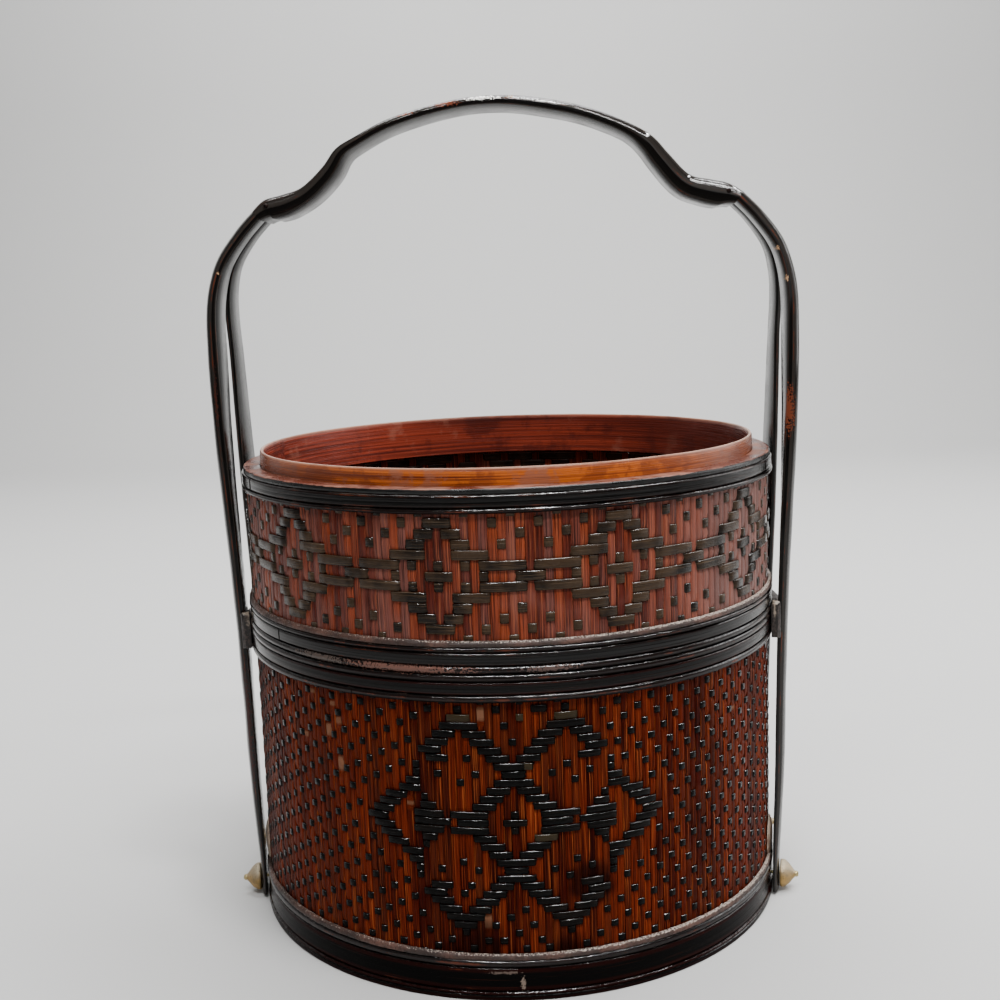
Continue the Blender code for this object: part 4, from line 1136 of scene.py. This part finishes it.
dull_brass = Finish("dull_cast_brass")
cloud = dull_brass.noise(dull_brass.place(), 260.0, 4.0, 0.6)
pits = dull_brass.noise(dull_brass.place(), 1600.0, 2.0, 0.5)
facing = dull_brass.part(dull_brass.node("ShaderNodeNewGeometry").outputs["Normal"], 2)
tone = dull_brass.cover(CAP_YELLOW, CAP_OLIVE, cloud, 0.40, 0.62)
# The caps turn cream towards their tops.
tone = dull_brass.cover(tone, CAP_CREAM, facing, -0.1, 0.8, 0.0, 0.7)
tone = dull_brass.cover(tone, CAP_PITS, pits, 0.62, 0.72, 0.0, 0.8)
height = dull_brass.maths("ADD", cloud, pits)
dull_brass.coat(tone, dull_brass.between(cloud, 0.3, 0.7, 0.38, 0.60), height, depth=0.00025)
dull_brass.set("Metallic", dull_brass.between(cloud, 0.35, 0.65, 0.75, 0.35))
bright_brass = Finish("bright_nail_brass")
rub = bright_brass.noise(bright_brass.place(), 1100.0, 3.0, 0.6)
tone = bright_brass.cover(NAIL_BRIGHT, NAIL_DULL, rub, 0.35, 0.65)
bright_brass.coat(tone, bright_brass.between(rub, 0.3, 0.7, 0.28, 0.48), rub, depth=0.0001)
bright_brass.set("Metallic", 1.0)


def leg_foot(along, across, gap):
    """The station of a leg where the nail goes through it."""
    frames = leg_frames(across < 0, along, across, gap, 2)
    return min(frames, key=lambda f: abs(f[0].z - FOOT_HEIGHT))


for seed, (name, along, across, gap) in enumerate(LEGS):
    place, _, inward, _, _ = leg_foot(along, across, gap)
    outward = Vector((-inward.x, -inward.y, 0.0)).normalized()
    face = outward * math.hypot(place.x, place.y) + Vector((0.0, 0.0, FOOT_HEIGHT))
    chance = np.random.default_rng(400 + seed)
    line = np.array(BOSS_LINE)
    places = FIT_GAP + line[:, 0] * BOSS_LENGTH
    rings = turned_rings(places, line[:, 1] * BOSS_RADIUS, face, outward, BOSS_SIDES)
    dents = chance.normal(0, CAP_DENT, rings.shape[:2])
    dents = (dents + np.roll(dents, 1, 1) + np.roll(dents, -1, 1)) / 2
    centre = rings.mean(1, keepdims=True)
    rings = centre + (rings - centre) * (1 + dents / BOSS_RADIUS)[:, :, None]
    strips = Strips(name + "_boss_cast")
    strips.lay(rings, line[:, :1], 0.0, 0.3 * seed)
    strips.piece(dull_brass.material, "basket", "aged_brass", name + "_boss", sharp=50.0)
    line = np.array(NAIL_LINE)
    rings = turned_rings(line[:, 0], line[:, 1] * NAIL_RADIUS, face, outward, PIN_SIDES)
    strips = Strips(name + "_nail_driven")
    strips.lay(rings, line[:, :1], 0.0, 0.3 * seed)
    strips.piece(bright_brass.material, "basket", "brass", name + "_nail", sharp=50.0)


# The carved rails that hold each pair of legs at the box's rim. Each is one curved block with
# a tongue between the legs and a raised horn at both ends, bound on with fine split cane.
# The lacquer has worn off the tops of the horns, and dust lies in the binding.
RAIL_INNER = BAND_RADIUS + FIT_GAP
RAIL_STATIONS = 150
RAIL_HORN = 0.0052
RAIL_HORN_START, RAIL_HORN_RUN = 0.80, 0.06
RAIL_ROUNDING = 0.00035
CANE_WIDTH, CANE_THICKNESS = 0.00105, 0.00028
CANE_TURNS = (-0.70, -0.765, -0.83, -0.895, 0.70, 0.765, 0.83, 0.895)
CANE_SECTION = ((-0.5, 0.0), (-0.42, 0.8), (0.0, 1.0), (0.42, 0.8), (0.5, 0.0))
CANE_SLANT = 0.35
CANE_PROUD, CANE_SUNK = 0.00002, 0.00005
RAIL_KNOB = 0.0024
RAIL_KNOB_PAST_LEG = 0.0008
TONGUE_RUN, KNOB_RUN = 0.0006, 0.0008
END_BACK, END_DOWN, END_UP = 0.0011, 0.0010, 0.0008
END_FACE, END_TOP, END_BOTTOM = (0.965, 0.035), (0.95, 0.05), (0.93, 0.07)
CARVING = 0.00006
RAIL_BLACK, RAIL_DUST, RAIL_WORN = (0.008, 0.005, 0.004), (0.055, 0.036, 0.029), (0.270, 0.215, 0.165)

rail_coat = Finish("dusty_worn_rail_lacquer")
patches = rail_coat.noise(rail_coat.place(), 130.0, 5.0, 0.65)
speckle = rail_coat.noise(rail_coat.place(), 900.0, 3.0, 0.6)
ragged = rail_coat.between(patches, 0.3, 0.7, -0.35, 0.35)
worn = rail_coat.maths("ADD", rail_coat.drawn("worn", "Fac"), ragged)
tone = rail_coat.cover(RAIL_BLACK, RAIL_DUST, speckle, 0.48, 0.62, 0.0, 0.8)
tone = rail_coat.cover(tone, RAIL_WORN, worn, 0.50, 0.80)
rail_coat.coat(tone, rail_coat.between(patches, 0.3, 0.7, 0.32, 0.62), speckle, depth=0.00030)


def rise(value, start, run):
    """A soft step from 0 to 1 that begins at start and takes run to get there."""
    value = np.clip((value - start) / run, 0.0, 1.0)
    return value * value * (3 - 2 * value)


for seed, (side, along, gap) in enumerate((("left", -1, LEFT_FOOT_GAP), ("right", 1, RIGHT_FOOT_GAP))):
    low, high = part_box(side + "_side_rail")
    reach = max(abs(low.x), abs(high.x))
    half = math.asin(high.y / RAIL_INNER)
    beside = [row for row in leg_stations(True, gap, 2) if low.z - 0.02 < row[1] < high.z + 0.02]
    wing = min(r - t for r, _, _, _, t, _ in beside) - FIT_GAP
    tongue = min((r - t) * m / r - w / 2 for r, _, m, w, t, _ in beside) - FIT_GAP
    leg_edge = max(math.asin((m + w / 2) / r) for r, _, m, w, _, _ in beside)
    past_leg = leg_edge * RAIL_INNER + RAIL_KNOB_PAST_LEG
    half = max(half, (past_leg + RAIL_KNOB) / RAIL_INNER)
    share = np.linspace(-1.0, 1.0, RAIL_STATIONS)
    toward_end = np.abs(share)
    offset = toward_end * half * RAIL_INNER
    outer = wing + (reach - wing) * (1 - rise(offset, tongue - TONGUE_RUN / 2, TONGUE_RUN))
    outer = outer + RAIL_KNOB * rise(offset, past_leg, KNOB_RUN) - END_BACK * rise(toward_end, *END_FACE)
    horn = RAIL_HORN * rise(toward_end, RAIL_HORN_START, RAIL_HORN_RUN)
    top = high.z + horn - END_DOWN * rise(toward_end, *END_TOP)
    bottom = low.z + END_UP * rise(toward_end, *END_BOTTOM)
    chance = np.random.default_rng(500 + seed)
    rings, worn = [], []
    for k in range(RAIL_STATIONS):
        r0, r1, z0, z1, c = RAIL_INNER, outer[k], bottom[k], top[k], RAIL_ROUNDING
        ring = [
            (r0, z0 + c), (r0 + c, z0), ((r0 + r1) / 2, z0), (r1 - c, z0), (r1, z0 + c),
            (r1, z0 * 0.75 + z1 * 0.25), (r1, (z0 + z1) / 2), (r1, z0 * 0.25 + z1 * 0.75), (r1, z1 - c),
            (r1 - c, z1), ((r0 + r1) / 2, z1 + c / 3), (r0 + c, z1), (r0, z1 - c),
        ]
        ring = np.array(ring)
        ring[3:10, 0] += chance.normal(0, CARVING, 7)
        rings.append(around(ring[:, 0], along * math.pi / 2 - share[k] * half, ring[:, 1]))
        lift = horn[k] / RAIL_HORN
        top_wear = [0.30 * lift, 0.10 + 0.75 * lift, 0.10 + 0.85 * lift, 0.10 + 0.75 * lift, 0.1]
        worn.append([0.0] * 8 + top_wear)
    strips = Strips(side + "_side_rail_carved")
    strips.lay(np.array(rings), (share * half * RAIL_INNER)[:, None], 0.0, 0.2 + 0.5 * seed, np.array(worn))
    strips.piece(rail_coat.material, "basket", "black_lacquer", side + "_side_rail", sharp=40.0)
    strips = Strips(side + "_side_rail_cane")
    for wrap, place in enumerate(CANE_TURNS):
        r0, r1 = RAIL_INNER - CANE_SUNK, wing + CANE_PROUD
        z0, z1 = low.z - CANE_SUNK, high.z + CANE_SUNK
        if abs(place) > RAIL_HORN_START:
            z1 += RAIL_HORN
        path = []
        for corner, (r, z) in enumerate(((r0, z0), (r1, z0), (r1, z1), (r0, z1))):
            for bend in range(4):
                turn_angle = math.pi * (1.25 + 0.5 * corner) + math.pi / 2 * (bend / 3 - 0.5)
                path.append((r, z, math.cos(turn_angle), math.sin(turn_angle)))
        rings = []
        for r, z, out_r, out_z in path:
            ring = []
            for across, out in CANE_SECTION:
                slant = CANE_SLANT * (z - z0) / (z1 - z0) * CANE_WIDTH * (1 if wrap % 2 else -1)
                arc = (place * half * RAIL_INNER + across * CANE_WIDTH + slant) / RAIL_INNER
                rim = CANE_THICKNESS * out
                ring.append(around(r + out_r * rim, along * math.pi / 2 - arc, z + out_z * rim))
            rings.append(ring)
        run = np.arange(len(path))[:, None] * 0.001
        strips.lay(np.array(rings), run, 0.0, chance.random(), 0.2, endless=True)
    strips.piece(rail_coat.material, "basket", "black_lacquer", sharp=50.0)


# Packing slips of raw bamboo, driven in between the wall and each foot of the handle so that
# the legs stand clear of the weave. They are split lens-shaped, and pale where they show.
SLIP_RISE = 0.0150
SLIP_WIDTH = 0.0136
SLIP_STEPS = 22
SLIP_ENDS, SLIP_BELLY, SLIP_TIP, SLIP_TIP_FROM, SLIP_NARROWING = 0.62, 0.38, 0.35, 0.75, 0.75
SLIP_SECTION = (
    (-0.50, 0.0), (-0.40, 0.42), (-0.22, 0.80), (0.0, 1.0), (0.22, 0.80), (0.40, 0.42), (0.50, 0.0),
)
WALL_CLEAR = 0.1133
RAW_BROWN, RAW_PALE, RAW_DIRT = (0.380, 0.270, 0.190), (0.620, 0.500, 0.390), (0.230, 0.120, 0.085)

raw_slip = Finish("raw_split_bamboo")
fibres = raw_slip.fibres(40.0, 2400.0, 59.0, 3.0, 0.6)
patches = raw_slip.noise(raw_slip.place(), 180.0, 4.0, 0.6)
tone = raw_slip.cover(RAW_BROWN, RAW_PALE, fibres, 0.38, 0.62)
tone = raw_slip.cover(tone, RAW_DIRT, patches, 0.48, 0.66, 0.0, 0.8)
raw_slip.coat(tone, raw_slip.between(fibres, 0.3, 0.7, 0.60, 0.78), fibres, depth=0.00012)
for seed, (name, along, across, gap) in enumerate(LEGS):
    low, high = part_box(name + "_packing_slip")
    inward = leg_foot(along, across, gap)[2]
    outward = math.atan2(-inward.x, inward.y)
    up = np.linspace(0.0, 1.0, SLIP_STEPS)[:, None]
    swell = SLIP_ENDS + SLIP_BELLY * np.sin(math.pi * (up * 0.8 + 0.1))
    swell = swell - SLIP_TIP * np.clip((up - SLIP_TIP_FROM) / (1 - SLIP_TIP_FROM), 0, 1)
    wide = SLIP_WIDTH * np.where(up < 0.5, 1.0, 1.0 - SLIP_NARROWING * ((up - 0.5) / 0.5)**2)
    sideways, out = np.array(SLIP_SECTION).T
    radius = WALL_CLEAR + (BAND_RADIUS - WALL_CLEAR) * swell * out
    rings = around(radius, outward + sideways * wide / WALL_CLEAR, low.z + (high.z - low.z) * up)
    strips = Strips(name + "_packing_slip_split")
    strips.lay(rings, up * SLIP_RISE, sideways[None, :] * SLIP_WIDTH, 0.2 * seed)
    strips.piece(raw_slip.material, "basket", "bare_bamboo", name + "_packing_slip", sharp=50.0)


# The two battens under the floor of the lower box, which carry its boards. They are strips of
# split bamboo, a little bowed, and lacquered black like the legs.
BATTEN_SECTION = (
    (-0.50, 0.08), (-0.46, 0.0), (0.46, 0.0), (0.50, 0.08), (0.50, 0.88), (0.44, 1.0), (-0.44, 1.0),
    (-0.50, 0.88),
)
BATTEN_WIDTH = 0.011
BATTEN_STEPS = 40
BATTEN_BOW, BATTEN_WAVE = 0.00012, 55.0
for side in ("left", "right"):
    low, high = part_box(side + "_floor_batten")
    sideways, up = np.array(BATTEN_SECTION).T
    run = np.linspace(low.y, high.y, BATTEN_STEPS)[:, None]
    across = (low.x + high.x) / 2 + (high.x - low.x) * sideways + BATTEN_BOW * np.sin(run * BATTEN_WAVE)
    rings = np.stack(np.broadcast_arrays(across, run, low.z + (high.z - low.z) * up), 2)
    strips = Strips(side + "_floor_batten_split")
    strips.lay(rings, run, sideways[None, :] * BATTEN_WIDTH, 0.4, 0.4)
    strips.piece(black_leg.material, "basket", "black_lacquer", side + "_floor_batten", sharp=30.0)


# The last measure.
low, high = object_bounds()
